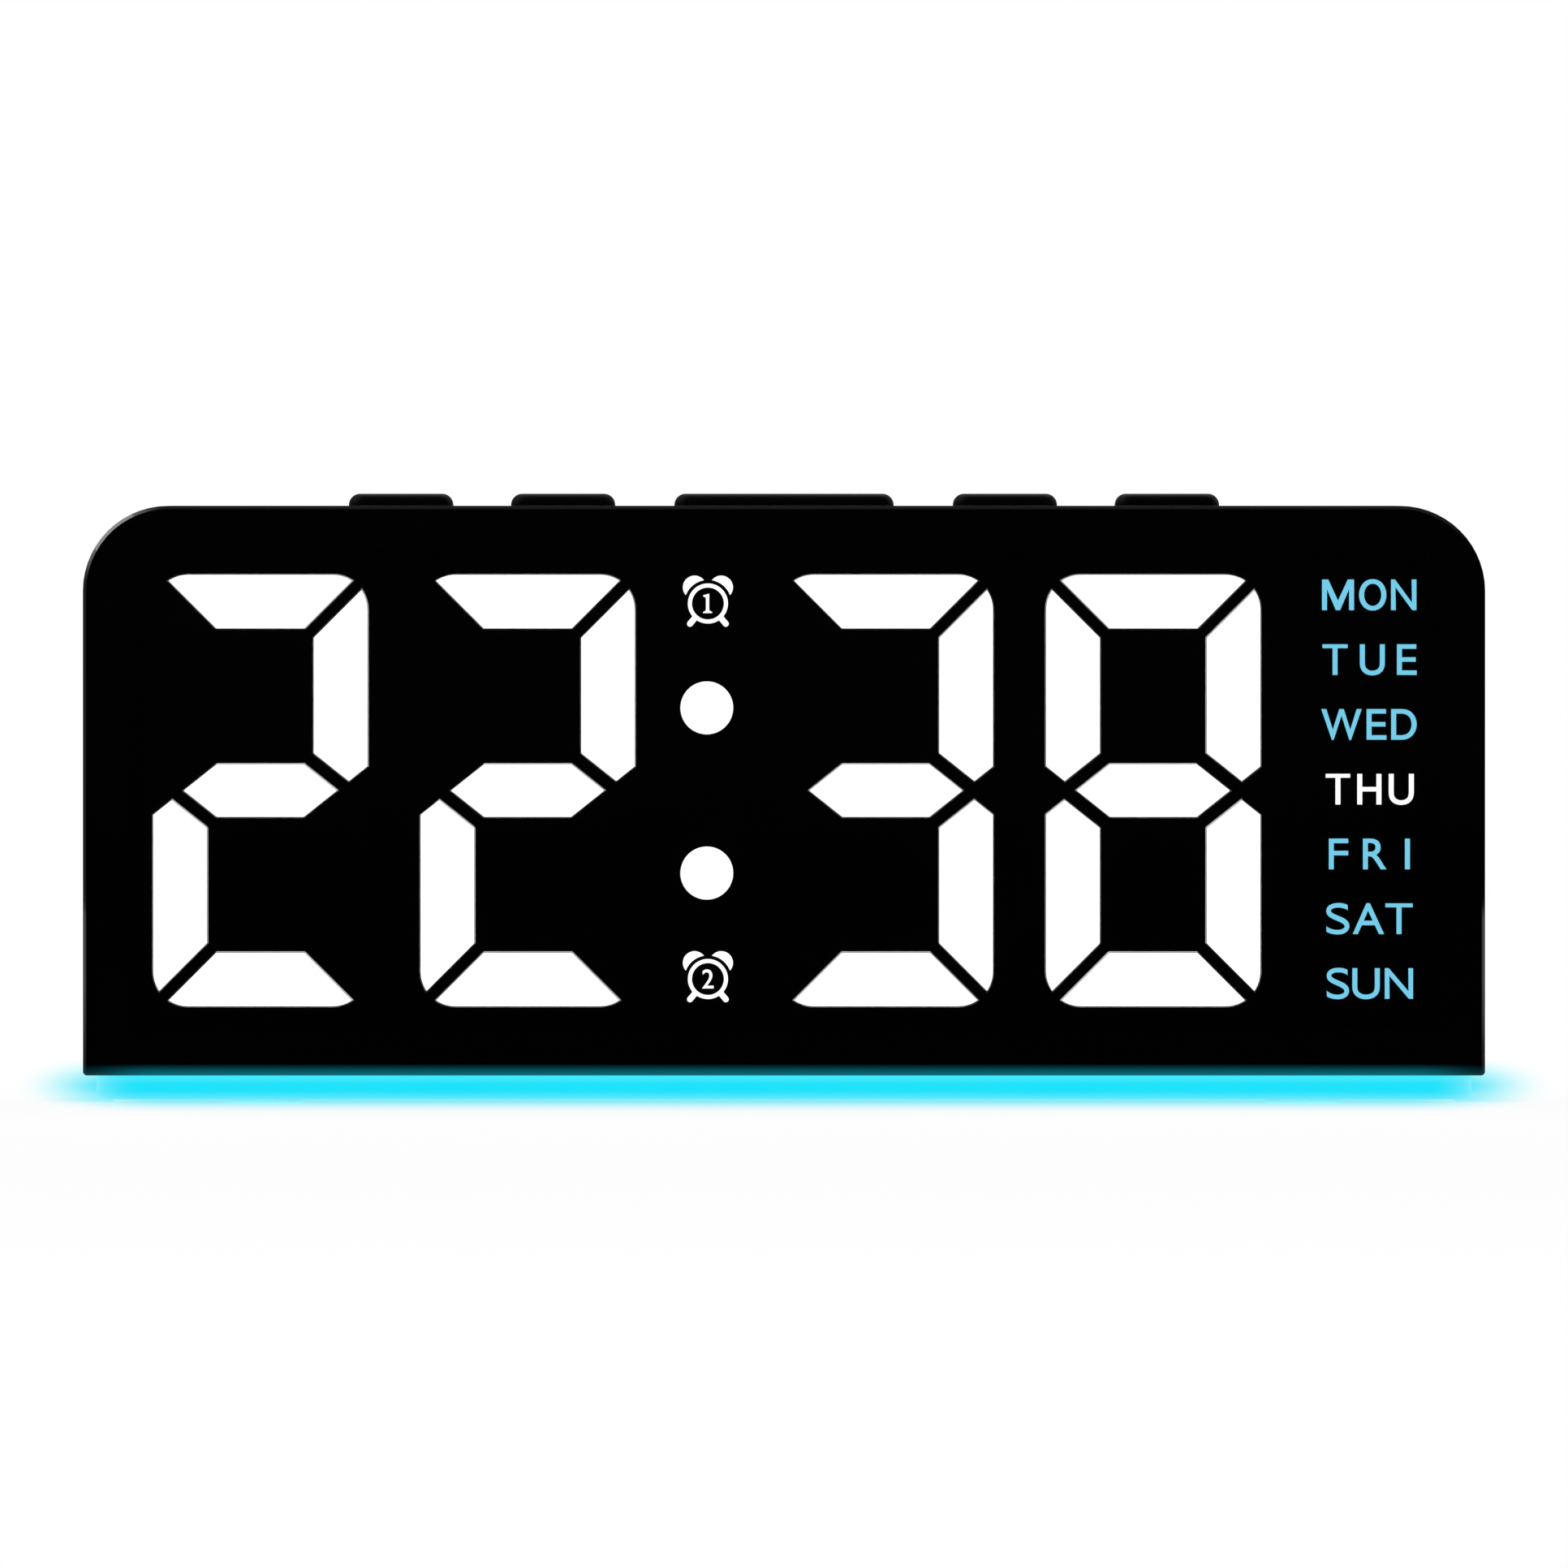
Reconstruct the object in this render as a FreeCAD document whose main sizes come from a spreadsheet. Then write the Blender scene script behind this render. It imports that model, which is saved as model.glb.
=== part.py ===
import FreeCAD, Part
import math
import os
import re
import Sketcher

# Day clock with a four-digit segment display, five push buttons and a night light under the case.
# Millimetres. +X runs to the clock's right as seen from the front, the face looks along -Y, +Z is up.
# The origin lies on the table, under the middle of the case.

SIZES = {
    # case
    "rear_depth": 25.0,
    "case_top_radius": 10.5,
    "case_bottom_radius": 0.5,
    "case_wall": 2.0,
    "case_back_radius": 2.0,
    "frame_wall": 1.8,
    "frame_face_thickness": 2.0,
    "frame_depth": 13.0,
    "lip_inset": 1.0,
    "lip_thickness": 0.75,
    "lip_length": 1.5,
    "lip_gap": 0.05,
    "seam_chamfer": 0.2,
    # lens
    "lens_thickness": 1.8,
    "lens_chamfer": 0.4,
    "tape_thickness": 0.2,
    "tape_width": 5.0,
    "tape_inset": 0.8,
    # segment display
    "digit_width": 26.6,
    "digit_height": 53.4,
    "digit_radius": 4.4,
    "stroke_width": 6.8,
    "middle_bar_height": 6.7,
    "corner_gap": 1.45,
    "cross_gap": 1.64,
    "cross_angle": 38.5,
    "cross_inset": 2.38,
    "overcut": 1.0,
    "left_margin": 8.53,
    "digit_gap": 6.37,
    "colon_column": 17.56,
    "weekday_gap": 7.07,
    "right_margin": 8.1,
    "digit_margin": 8.4,
    "colon_spacing": 20.38,
    "colon_dot_radius": 3.25,
    "sign_overhang": 0.25,
    "sign_window": 7.6,
    "weekday_window_width": 12.4,
    "weekday_window_height": 5.6,
    "window_radius": 0.6,
    "diffuser_thickness": 2.5,
    "diffuser_gap": 0.05,
    "well_shelf": 0.7,
    "reflector_depth": 8.0,
    "reflector_side_inset": 7.4,
    "reflector_end_inset": 7.2,
    "reflector_step": 1.0,
    "reflector_gap": 0.2,
    # display board
    "board_thickness": 1.6,
    "board_side_inset": 6.6,
    "board_end_inset": 2.1,
    "board_top_radius": 6.0,
    "board_bottom_radius": 1.0,
    "led_size": 2.8,
    "led_thickness": 0.8,
    "chip_size": 10.0,
    "chip_thickness": 1.4,
    "driver_length": 18.0,
    "driver_width": 7.6,
    "driver_thickness": 2.3,
    "chip_spacing": 34.0,
    "crystal_radius": 1.0,
    "crystal_length": 6.0,
    # push buttons
    "button_outer_x": 47.5,
    "button_inner_x": 27.4,
    "button_width": 12.9,
    "snooze_width": 27.2,
    "button_depth": 9.0,
    "button_y": 3.0,
    "button_proud": 1.5,
    "button_travel": 0.7,
    "button_edge_radius": 1.4,
    "button_plan_radius": 2.0,
    "dish_inset": 2.2,
    "dish_depth": 0.2,
    "button_gap": 0.2,
    "button_play": 0.1,
    "flange_lip": 0.8,
    "flange_thickness": 1.0,
    "stem_radius": 1.8,
    "stem_length": 1.6,
    "plunger_radius": 1.7,
    "plunger_length": 2.0,
    "plunger_proud": 1.0,
    "plunger_gap": 0.1,
    "switch_size": 6.0,
    "switch_height": 3.5,
    "button_board_margin": 3.4,
    "button_board_depth": 13.4,
    "button_post_radius": 2.3,
    "header_width": 15.2,
    "header_height": 2.5,
    # battery bay
    "cell_radius": 5.25,
    "cell_length": 43.7,
    "cell_nub_radius": 1.9,
    "cell_nub_length": 0.8,
    "cell_pitch": 11.3,
    "cell_gap": 0.15,
    "spring_length": 5.0,
    "bay_middle": 30.7,
    "bay_wall": 1.4,
    "bay_margin": 0.5,
    "contact_thickness": 0.3,
    "contact_width": 7.2,
    "spring_width": 5.0,
    "door_thickness": 1.6,
    "door_gap": 0.3,
    "tongue_x": 15.0,
    "tongue_width": 6.0,
    "tongue_thickness": 1.0,
    "tongue_reach": 2.0,
    "tongue_root": 1.8,
    "tongue_gap": 0.1,
    "latch_width": 10.0,
    "latch_slit": 1.0,
    "latch_length": 6.0,
    "latch_nub": 0.25,
    "grip_depth": 0.6,
    "grip_border": 0.8,
    "grip_pitch": 1.2,
    "grip_groove": 0.6,
    # socket, buzzer
    "usb_inset": 30.4,
    "usb_width": 8.9,
    "usb_height": 3.2,
    "usb_length": 7.4,
    "usb_radius": 1.5,
    "usb_shell": 0.3,
    "usb_tongue_width": 6.7,
    "usb_tongue_thickness": 0.7,
    "usb_gap": 0.3,
    "usb_recess": 0.6,
    "power_board_width": 24.0,
    "power_board_depth": 14.4,
    "power_post_height": 3.0,
    "power_post_radius": 2.2,
    "power_post_spacing": 18.0,
    "ribbon_width": 8.0,
    "ribbon_thickness": 0.3,
    "ribbon_socket_width": 11.0,
    "ribbon_socket_height": 2.5,
    "ribbon_socket_depth": 3.0,
    "buzzer_inset": 31.4,
    "buzzer_height_in_case": 34.0,
    "buzzer_radius": 6.0,
    "buzzer_thickness": 4.5,
    "buzzer_port_radius": 1.2,
    "buzzer_collar": 1.2,
    "buzzer_gap": 0.1,
    "grille_hole_radius": 0.8,
    "grille_ring_radius": 3.6,
    # night light and base
    "foot_proud": 0.6,
    "foot_radius": 4.5,
    "foot_thickness": 1.4,
    "foot_edge": 0.3,
    "foot_side_inset": 22.4,
    "foot_end_inset": 9.5,
    "foot_gap": 0.1,
    "base_plate_thickness": 1.4,
    "base_plate_gap": 0.1,
    "base_corner_radius": 6.0,
    "light_guide_thickness": 3.0,
    "light_guide_inset": 1.5,
    "light_guide_rim": 2.2,
    "light_guide_chamfer": 0.3,
    "light_board_inset": 18.4,
    "light_board_depth": 8.0,
    "light_board_thickness": 1.0,
    "light_board_y": 0.0,
    "light_led_size": 3.5,
    "light_led_thickness": 0.9,
    "light_window": 4.6,
    "light_end": 12.0,
    "stake_radius": 1.0,
    "stake_gap": 0.1,
    "stake_inset": 3.0,
    # screws: radius of the shank, the head and the plain hole round the shank
    "case_screw_radius": 1.25,
    "case_screw_head_radius": 2.2,
    "case_screw_head_height": 1.8,
    "case_screw_length": 10.0,
    "case_screw_inset": 3.9,
    "case_screw_height": 15.0,
    "case_boss_radius": 2.3,
    "well_tube_radius": 3.6,
    "well_bore_radius": 2.35,
    "well_floor": 2.0,
    "small_screw_radius": 1.0,
    "small_screw_head_radius": 1.8,
    "small_screw_head_height": 1.2,
    "small_screw_length": 5.6,
    "board_screw_inset": 26.4,
    "board_boss_radius": 2.1,
    "board_boss_inset": 1.9,
    "base_screw_radius": 1.25,
    "base_screw_head_radius": 2.3,
    "base_screw_length": 7.0,
    "base_screw_inset": 10.4,
    "base_screw_y": 6.0,
    "base_screw_pitch": 11.0,
    "base_boss_radius": 2.6,
    "base_boss_height": 5.0,
    "screw_gap": 0.05,
    "screw_tip_gap": 0.4,
}

WEEKDAYS = ("mon", "tue", "wed", "thu", "fri", "sat", "sun")
LIGHT_LEDS = 9
GRILLE_HOLES = 6
GRIP_GROOVES = 4

doc = FreeCAD.newDocument("DayClock")
sheet = doc.addObject("Spreadsheet::Sheet", "Sizes")
for row, (size_name, size) in enumerate(SIZES.items(), start=1):
    sheet.set(f"A{row}", size_name)
    sheet.set(f"B{row}", str(size))
    sheet.setAlias(f"B{row}", size_name)
doc.recompute()

# The case is as large as what it holds.
CASE_WIDTH = ("(left_margin + 4 * digit_width + 2 * digit_gap + colon_column + weekday_gap"
              " + weekday_window_width + right_margin)")
CASE_HEIGHT = "(digit_height + 2 * digit_margin)"
CASE_DEPTH = "(lens_thickness + tape_thickness + frame_depth + rear_depth)"
SIDE = f"({CASE_WIDTH} / 2)"

# Places along Y, from the face to the back.
FRONT = f"(-{CASE_DEPTH} / 2)"
LENS_BACK = f"({FRONT} + lens_thickness)"
FRAME_FRONT = f"({LENS_BACK} + tape_thickness)"
FRAME_STEP = f"({FRAME_FRONT} + frame_face_thickness)"
REFLECTOR_BACK = f"({FRAME_FRONT} + reflector_depth)"
BOARD_BACK = f"({REFLECTOR_BACK} + board_thickness)"
PARTING = f"({FRAME_FRONT} + frame_depth)"
BACK = f"({CASE_DEPTH} / 2)"
BACK_INSIDE = f"({BACK} - case_wall)"

# Heights above the table.
PLATE_TOP = "(foot_proud + base_plate_thickness)"
PLATE_INSET = "(light_guide_inset + light_guide_rim)"
CASE_BOTTOM = "(foot_proud + light_guide_thickness)"
CASE_TOP = f"({CASE_BOTTOM} + {CASE_HEIGHT})"
MIDDLE = f"({CASE_BOTTOM} + {CASE_HEIGHT} / 2)"
FLOOR_INSIDE = f"({CASE_BOTTOM} + case_wall)"
ROOF_INSIDE = f"({CASE_TOP} - case_wall)"
FLANGE_TOP = f"({ROOF_INSIDE} - button_play)"
FLANGE_BOTTOM = f"({FLANGE_TOP} - flange_thickness)"
PLUNGER_TOP = f"({FLANGE_BOTTOM} - stem_length)"
SWITCH_TOP = f"({PLUNGER_TOP} - plunger_proud)"
BUTTON_BOARD_TOP = f"({SWITCH_TOP} - switch_height)"
BUTTON_BOARD_BOTTOM = f"({BUTTON_BOARD_TOP} - board_thickness)"
POWER_BOARD_BOTTOM = f"({FLOOR_INSIDE} + power_post_height)"
POWER_BOARD_TOP = f"({POWER_BOARD_BOTTOM} + board_thickness)"
USB_MIDDLE = f"({POWER_BOARD_TOP} + usb_height / 2)"
BUZZER_MIDDLE = f"({CASE_BOTTOM} + buzzer_height_in_case)"

# Places along X of the digits, the colon, the weekdays, the socket and the buzzer.
DIGIT_1_X = f"(left_margin + digit_width / 2 - {SIDE})"
DIGIT_2_X = f"({DIGIT_1_X} + digit_width + digit_gap)"
COLON_X = f"({DIGIT_2_X} + digit_width / 2 + colon_column / 2)"
DIGIT_3_X = f"({COLON_X} + colon_column / 2 + digit_width / 2)"
DIGIT_4_X = f"({DIGIT_3_X} + digit_width + digit_gap)"
DIGITS = (DIGIT_1_X, DIGIT_2_X, DIGIT_3_X, DIGIT_4_X)
WEEKDAY_X = f"({SIDE} - right_margin - weekday_window_width / 2)"
USB_X = f"(usb_inset - {SIDE})"
BUZZER_X = f"({SIDE} - buzzer_inset)"

# The signs stand level with the ends of the digits, and the weekdays fill the digits' height.
SIGN_SPACING = "(digit_height - sign_window + 2 * sign_overhang)"
WEEKDAY_PITCH = "((digit_height - weekday_window_height) / 6)"

# Battery bay: the door's opening holds three cells, one above another.
BAY_LENGTH = "(cell_length + cell_nub_length + 2 * contact_thickness + 2 * cell_gap + spring_length)"
BAY_END = f"({BAY_LENGTH} / 2)"
BAY_MIDDLE = f"({CASE_BOTTOM} + bay_middle)"
BAY_HEIGHT = "(3 * cell_pitch + 2 * bay_margin)"
BAY_LOW = f"({BAY_MIDDLE} - {BAY_HEIGHT} / 2)"
BAY_HIGH = f"({BAY_MIDDLE} + {BAY_HEIGHT} / 2)"
CELL_SEAT = "(cell_radius + cell_gap)"
CELL_Y = f"({BACK} - door_thickness - 2 * cell_gap - cell_radius)"
BAY_FRONT = f"({CELL_Y} - {CELL_SEAT} - bay_wall)"

# The five buttons: name, place along X and width.
BUTTONS = (
    ("set", "-button_outer_x", "button_width"),
    ("alarm", "-button_inner_x", "button_width"),
    ("snooze", "0", "snooze_width"),
    ("light", "button_inner_x", "button_width"),
    ("volume", "button_outer_x", "button_width"),
)

ALIAS = re.compile(r"\b(" + "|".join(sorted(SIZES, key=len, reverse=True)) + r")\b")
PLANES = {"XY": ("XY_Plane", 1), "XZ": ("XZ_Plane", -1), "YZ": ("YZ_Plane", 1)}
LEAST_CUT = 1e-3

cuts = []


def bound(text):
    """The expression with each size's name pointing at its cell."""
    return ALIAS.sub(r"Sizes.\1", text)


def value(text):
    """What the expression comes to now."""
    return float(sheet.evalExpression(bound(text)))


def constrain(sketch, kind, *where, size):
    """A dimension in a sketch, driven by an expression."""
    index = sketch.addConstraint(Sketcher.Constraint(kind, *where, value(size)))
    sketch.setExpression(f"Constraints[{index}]", bound(size))


def circle(x, y, radius):
    """A circle outline."""
    def draw(sketch):
        middle = FreeCAD.Vector(value(x), value(y), 0)
        ring = sketch.addGeometry(Part.Circle(middle, FreeCAD.Vector(0, 0, 1), value(radius)), False)
        constrain(sketch, "Radius", ring, size=radius)
        constrain(sketch, "DistanceX", -1, 1, ring, 3, size=x)
        constrain(sketch, "DistanceY", -1, 1, ring, 3, size=y)
    return draw


def polygon(*points):
    """A closed outline of straight sides."""
    def draw(sketch):
        places = [FreeCAD.Vector(value(x), value(y), 0) for x, y in points]
        sides = [
            sketch.addGeometry(Part.LineSegment(start, end), False)
            for start, end in zip(places, places[1:] + places[:1])
        ]
        for side, following in zip(sides, sides[1:] + sides[:1]):
            sketch.addConstraint(Sketcher.Constraint("Coincident", side, 2, following, 1))
        for side, (x, y) in zip(sides, points):
            constrain(sketch, "DistanceX", -1, 1, side, 1, size=x)
            constrain(sketch, "DistanceY", -1, 1, side, 1, size=y)
    return draw


def rectangle(left, right, low, high, radius=None, low_radius=None):
    """An upright rectangle, whose upper and lower corners can be rounded."""
    low_radius = low_radius or radius

    def draw(sketch):
        x0, x1, y0, y1 = (value(side) for side in (left, right, low, high))
        top = value(radius) if radius else 0
        bottom = value(low_radius) if low_radius else 0
        corners = (
            (x1, y0, -1, 1, bottom),
            (x1, y1, -1, -1, top),
            (x0, y1, 1, -1, top),
            (x0, y0, 1, 1, bottom),
        )
        ends = []
        for index, (x, y, inward_x, inward_y, r) in enumerate(corners):
            along_x = FreeCAD.Vector(x + inward_x * r, y, 0)
            along_y = FreeCAD.Vector(x, y + inward_y * r, 0)
            ends.append((along_x, along_y) if index % 2 == 0 else (along_y, along_x))
        sides = [
            sketch.addGeometry(Part.LineSegment(before[1], after[0]), False)
            for before, after in zip(ends, ends[1:] + ends[:1])
        ]
        for index, side in enumerate(sides):
            sketch.addConstraint(Sketcher.Constraint("Horizontal" if index % 2 else "Vertical", side))
        for index, (x, y, inward_x, inward_y, r) in enumerate(corners):
            before, after = sides[index - 1], sides[index]
            if not r:
                sketch.addConstraint(Sketcher.Constraint("Coincident", before, 2, after, 1))
                continue
            centre = FreeCAD.Vector(x + inward_x * r, y + inward_y * r, 0)
            outward = FreeCAD.Vector(-inward_x, -inward_y, 0).normalize()
            bend = Part.Arc(ends[index][0], centre + outward * r, ends[index][1])
            arc = sketch.addGeometry(bend, False)
            sketch.addConstraint(Sketcher.Constraint("Tangent", before, 2, arc, 1))
            sketch.addConstraint(Sketcher.Constraint("Tangent", arc, 2, after, 1))
            constrain(sketch, "Radius", arc, size=radius if inward_y < 0 else low_radius)
        constrain(sketch, "DistanceX", -1, 1, sides[0], 1, size=right)
        constrain(sketch, "DistanceY", -1, 1, sides[1], 1, size=high)
        constrain(sketch, "DistanceX", -1, 1, sides[2], 1, size=left)
        constrain(sketch, "DistanceY", -1, 1, sides[3], 1, size=low)
    return draw


def centred(x, y, width, height, radius=None):
    """A rectangle about a middle point."""
    return rectangle(f"{x} - ({width}) / 2", f"{x} + ({width}) / 2",
                     f"{y} - ({height}) / 2", f"{y} + ({height}) / 2", radius)


class Piece:
    """A PartDesign body whose sketches and features take their sizes from the sheet."""

    def __init__(self, label):
        self.body = doc.addObject("PartDesign::Body", label)
        self.body.Label = label

    def sketch(self, plane, level, outlines):
        """Outlines on the plane across the third axis, at the level along that axis."""
        role, direction = PLANES[plane]
        sketch = self.body.newObject("Sketcher::SketchObject", "Outline")
        origin = [part for part in self.body.Origin.OriginFeatures if part.Role == role]
        sketch.AttachmentSupport = (origin[0], [""])
        sketch.MapMode = "FlatFace"
        sketch.setExpression("AttachmentOffset.Base.z", bound(f"{direction} * ({level})"))
        for outline in outlines:
            outline(sketch)
        return sketch

    def pad(self, plane, start, end, *outlines):
        """Adds material from start to end along the axis across the plane."""
        forward = PLANES[plane][1] > 0
        feature = self.body.newObject("PartDesign::Pad", "Pad")
        feature.Profile = self.sketch(plane, start if forward else end, outlines)
        feature.setExpression("Length", bound(f"({end}) - ({start})"))
        self.body.Tip = feature
        return self

    def pocket(self, plane, start, end, *outlines):
        """Takes material away from start to end along the axis across the plane."""
        forward = PLANES[plane][1] > 0
        feature = self.body.newObject("PartDesign::Pocket", "Pocket")
        feature.Profile = self.sketch(plane, end if forward else start, outlines)
        feature.setExpression("Length", bound(f"({end}) - ({start})"))
        self.body.Tip = feature
        cuts.append(feature)
        return self

    def revolve(self, plane, level, outline, axis):
        """Turns an outline all the way round an axis of its sketch, which is V_Axis or H_Axis."""
        feature = self.body.newObject("PartDesign::Revolution", "Turned")
        feature.Profile = self.sketch(plane, level, [outline])
        feature.ReferenceAxis = (feature.Profile[0], [axis])
        feature.Angle = 360
        self.body.Tip = feature
        return self

    def edges(self, chosen):
        """The names of the present shape's edges whose every corner and middle pass the test."""
        doc.recompute()
        names = []
        for index, edge in enumerate(self.body.Tip.Shape.Edges, start=1):
            middle = edge.valueAt((edge.FirstParameter + edge.LastParameter) / 2)
            if all(chosen(point) for point in [vertex.Point for vertex in edge.Vertexes] + [middle]):
                names.append(f"Edge{index}")
        return names

    def trim(self, kind, size_property, size, chosen):
        """A fillet or chamfer on the chosen edges."""
        base = self.body.Tip
        names = self.edges(chosen)
        feature = self.body.newObject(f"PartDesign::{kind}", kind)
        feature.Base = (base, names)
        feature.setExpression(size_property, bound(size))
        self.body.Tip = feature
        return self

    def fillet(self, radius, chosen):
        """Rounds the chosen edges."""
        return self.trim("Fillet", "Radius", radius, chosen)

    def chamfer(self, size, chosen):
        """Bevels the chosen edges."""
        return self.trim("Chamfer", "Size", size, chosen)

    def repeat(self, axis, length, count):
        """Repeats the last feature in a row along an axis of the body."""
        feature = self.body.newObject("PartDesign::LinearPattern", "Row")
        line = [part for part in self.body.Origin.OriginFeatures if part.Role == f"{axis}_Axis"]
        feature.Originals = [self.body.Tip]
        feature.Direction = (line[0], [""])
        feature.Occurrences = count
        feature.setExpression("Length", bound(length))
        self.body.Tip = feature
        return self

    def move(self, x="0", y="0", z="0"):
        """Places the body."""
        for axis, place in zip("xyz", (x, y, z)):
            self.body.setExpression(f"Placement.Base.{axis}", bound(place))
        return self


def on_level(axis, level, slack=1e-4):
    """A test for points that lie on a plane across an axis."""
    place = value(level)
    return lambda point: abs(getattr(point, axis) - place) < slack


def group(label, source, places, turn=None):
    """Separate copies of one body, each at its own place, as one sub-part."""
    copies = []
    for place in places:
        copy = doc.addObject("App::Link", f"{label}_copy")
        copy.LinkedObject = source
        if turn:
            copy.Placement = FreeCAD.Placement(FreeCAD.Vector(), turn)
        for axis, position in zip("xyz", place):
            copy.setExpression(f"Placement.Base.{axis}", bound(position))
        copies.append(copy)
    compound = doc.addObject("Part::Compound", label)
    compound.Label = label
    compound.Links = copies
    return compound


def case_outline(inset="0"):
    """The case's outline seen from the front, moved inwards."""
    return rectangle(f"({inset}) - {SIDE}", f"{SIDE} - ({inset})",
                     f"{CASE_BOTTOM} + ({inset})", f"{CASE_TOP} - ({inset})",
                     f"case_top_radius - ({inset})", "case_bottom_radius")


def mirrored_x(x, *heights):
    """Places on both sides of the middle, at each height."""
    return [(side + x, height) for side in ("-", "") for height in heights]


CASE_SCREWS = mirrored_x(f"({SIDE} - case_screw_inset)",
                         f"{CASE_BOTTOM} + case_screw_height", f"{CASE_TOP} - case_screw_height")
BOARD_SCREW_X = f"({SIDE} - board_screw_inset)"
BOARD_SCREW_HEIGHTS = (
    f"({CASE_BOTTOM} + frame_wall + board_boss_inset)",
    f"({CASE_TOP} - frame_wall - board_boss_inset)",
)
BOARD_SCREWS = mirrored_x(BOARD_SCREW_X, *BOARD_SCREW_HEIGHTS) + [
    ("0", height) for height in BOARD_SCREW_HEIGHTS]
BUTTON_POST_OUTER = "(button_outer_x + (button_outer_x - button_inner_x) / 2)"
BUTTON_POSTS = (mirrored_x("((button_inner_x + button_outer_x) / 2)", "button_y")
                + mirrored_x(BUTTON_POST_OUTER, "button_y"))
BASE_SCREWS = mirrored_x(f"({SIDE} - base_screw_inset)", "base_screw_y - base_screw_pitch / 2",
                         "base_screw_y + base_screw_pitch / 2")
FEET = mirrored_x(f"({SIDE} - foot_side_inset)", f"foot_end_inset - {BACK}", f"{BACK} - foot_end_inset")
LIGHT_SIDE = f"({SIDE} - light_board_inset)"
LIGHT_PITCH = f"(2 * ({LIGHT_SIDE} - light_end) / {LIGHT_LEDS - 1})"
STAKES = mirrored_x(f"({LIGHT_SIDE} - stake_inset)", "light_board_y")
POWER_BOARD_BACK = f"({BACK_INSIDE} - button_gap)"
POWER_BOARD_MIDDLE = f"({POWER_BOARD_BACK} - power_board_depth / 2)"
POWER_POSTS = [(f"{USB_X} {side} power_post_spacing / 2",
                f"{POWER_BOARD_MIDDLE} - power_board_depth / 4") for side in "-+"]


def circles(places, radius):
    """One circle at each place."""
    return [circle(x, y, radius) for x, y in places]


def reflector_face(growth):
    """The reflector's outline seen from the front, grown outwards."""
    return centred("0", MIDDLE, f"2 * ({SIDE} - reflector_side_inset + {growth})",
                   f"{CASE_HEIGHT} - 2 * (reflector_end_inset - {growth})")


def front_lens():
    """The smoked sheet that covers the whole front, with a small bevel round its face."""
    lens = Piece("front_lens").pad("XZ", FRONT, LENS_BACK, case_outline())
    lens.chamfer("lens_chamfer", on_level("y", FRONT))
    return lens.body


def lens_tape():
    """The ring of tape between the lens and the front frame."""
    return Piece("lens_tape").pad("XZ", LENS_BACK, FRAME_FRONT, case_outline("tape_inset"),
                                  case_outline("tape_inset + tape_width")).body


def front_frame():
    """The frame that carries the lens, the reflector and the display board."""
    frame = Piece("front_frame").pad("XZ", FRAME_FRONT, PARTING, case_outline())
    frame.chamfer("seam_chamfer", on_level("y", PARTING))
    frame.pocket("XZ", FRAME_STEP, PARTING, case_outline("frame_wall"))
    frame.pocket("XZ", FRAME_FRONT, FRAME_STEP, reflector_face("reflector_gap"))
    frame.pad("XZ", FRAME_STEP, PARTING, *circles(CASE_SCREWS, "case_boss_radius"))
    frame.pad("XZ", FRAME_STEP, REFLECTOR_BACK, *circles(BOARD_SCREWS, "board_boss_radius"))
    frame.pocket("XZ", f"{PARTING} - lip_length - lip_gap", PARTING,
                 case_outline("lip_inset - lip_gap"), case_outline("frame_wall"))
    frame.pocket("XZ", f"{PARTING} - case_screw_length + well_floor - screw_tip_gap", PARTING,
                 *circles(CASE_SCREWS, "case_screw_radius + screw_gap"))
    frame.pocket("XZ", f"{BOARD_BACK} - small_screw_length - screw_tip_gap", REFLECTOR_BACK,
                 *circles(BOARD_SCREWS, "small_screw_radius + screw_gap"))
    return frame.body


def digit(label, x, growth, start, end):
    """Seven segments: a rounded ring with a middle bar, parted by mitre gaps and by two open crosses."""
    half_width = f"(digit_width / 2 + ({growth}))"
    half_height = f"(digit_height / 2 + ({growth}))"
    hole_side = f"(digit_width / 2 - stroke_width - ({growth}))"
    hole_high = f"(digit_height / 2 - stroke_width - ({growth}))"
    hole_low = f"(middle_bar_height / 2 + ({growth}))"
    piece = Piece(label)
    piece.pad("XZ", start, end,
              rectangle(f"-{half_width}", half_width, f"-{half_height}", half_height,
                        f"digit_radius + ({growth})"),
              rectangle(f"-{hole_side}", hole_side, hole_low, hole_high),
              rectangle(f"-{hole_side}", hole_side, f"-{hole_high}", f"-{hole_low}"))
    piece.pocket("XZ", start, end, *mitre_gaps(growth), *cross_gaps(growth))
    return piece.move(x=x, z=MIDDLE).body


def mitre_gaps(growth):
    """The four slanted gaps, each through an inner corner of the ring towards its outer corner."""
    corner_x = "(digit_width / 2 - stroke_width)"
    corner_z = "(digit_height / 2 - stroke_width)"
    half = f"((corner_gap / 2 - ({growth})) * sqrt(2))"
    reach = "(stroke_width + overcut)"
    start = f"(-({half}) - overcut / 2)"
    outlines = []
    for side in ("", "-"):
        for up in ("", "-"):
            outlines.append(polygon(
                (f"{side}({corner_x} + {start} + {half})", f"{up}({corner_z} + {start})"),
                (f"{side}({corner_x} + {reach} + {half})", f"{up}({corner_z} + {reach})"),
                (f"{side}({corner_x} + {reach})", f"{up}({corner_z} + {reach} + {half})"),
                (f"{side}({corner_x} + {start})", f"{up}({corner_z} + {start} + {half})"),
            ))
    return outlines


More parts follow.
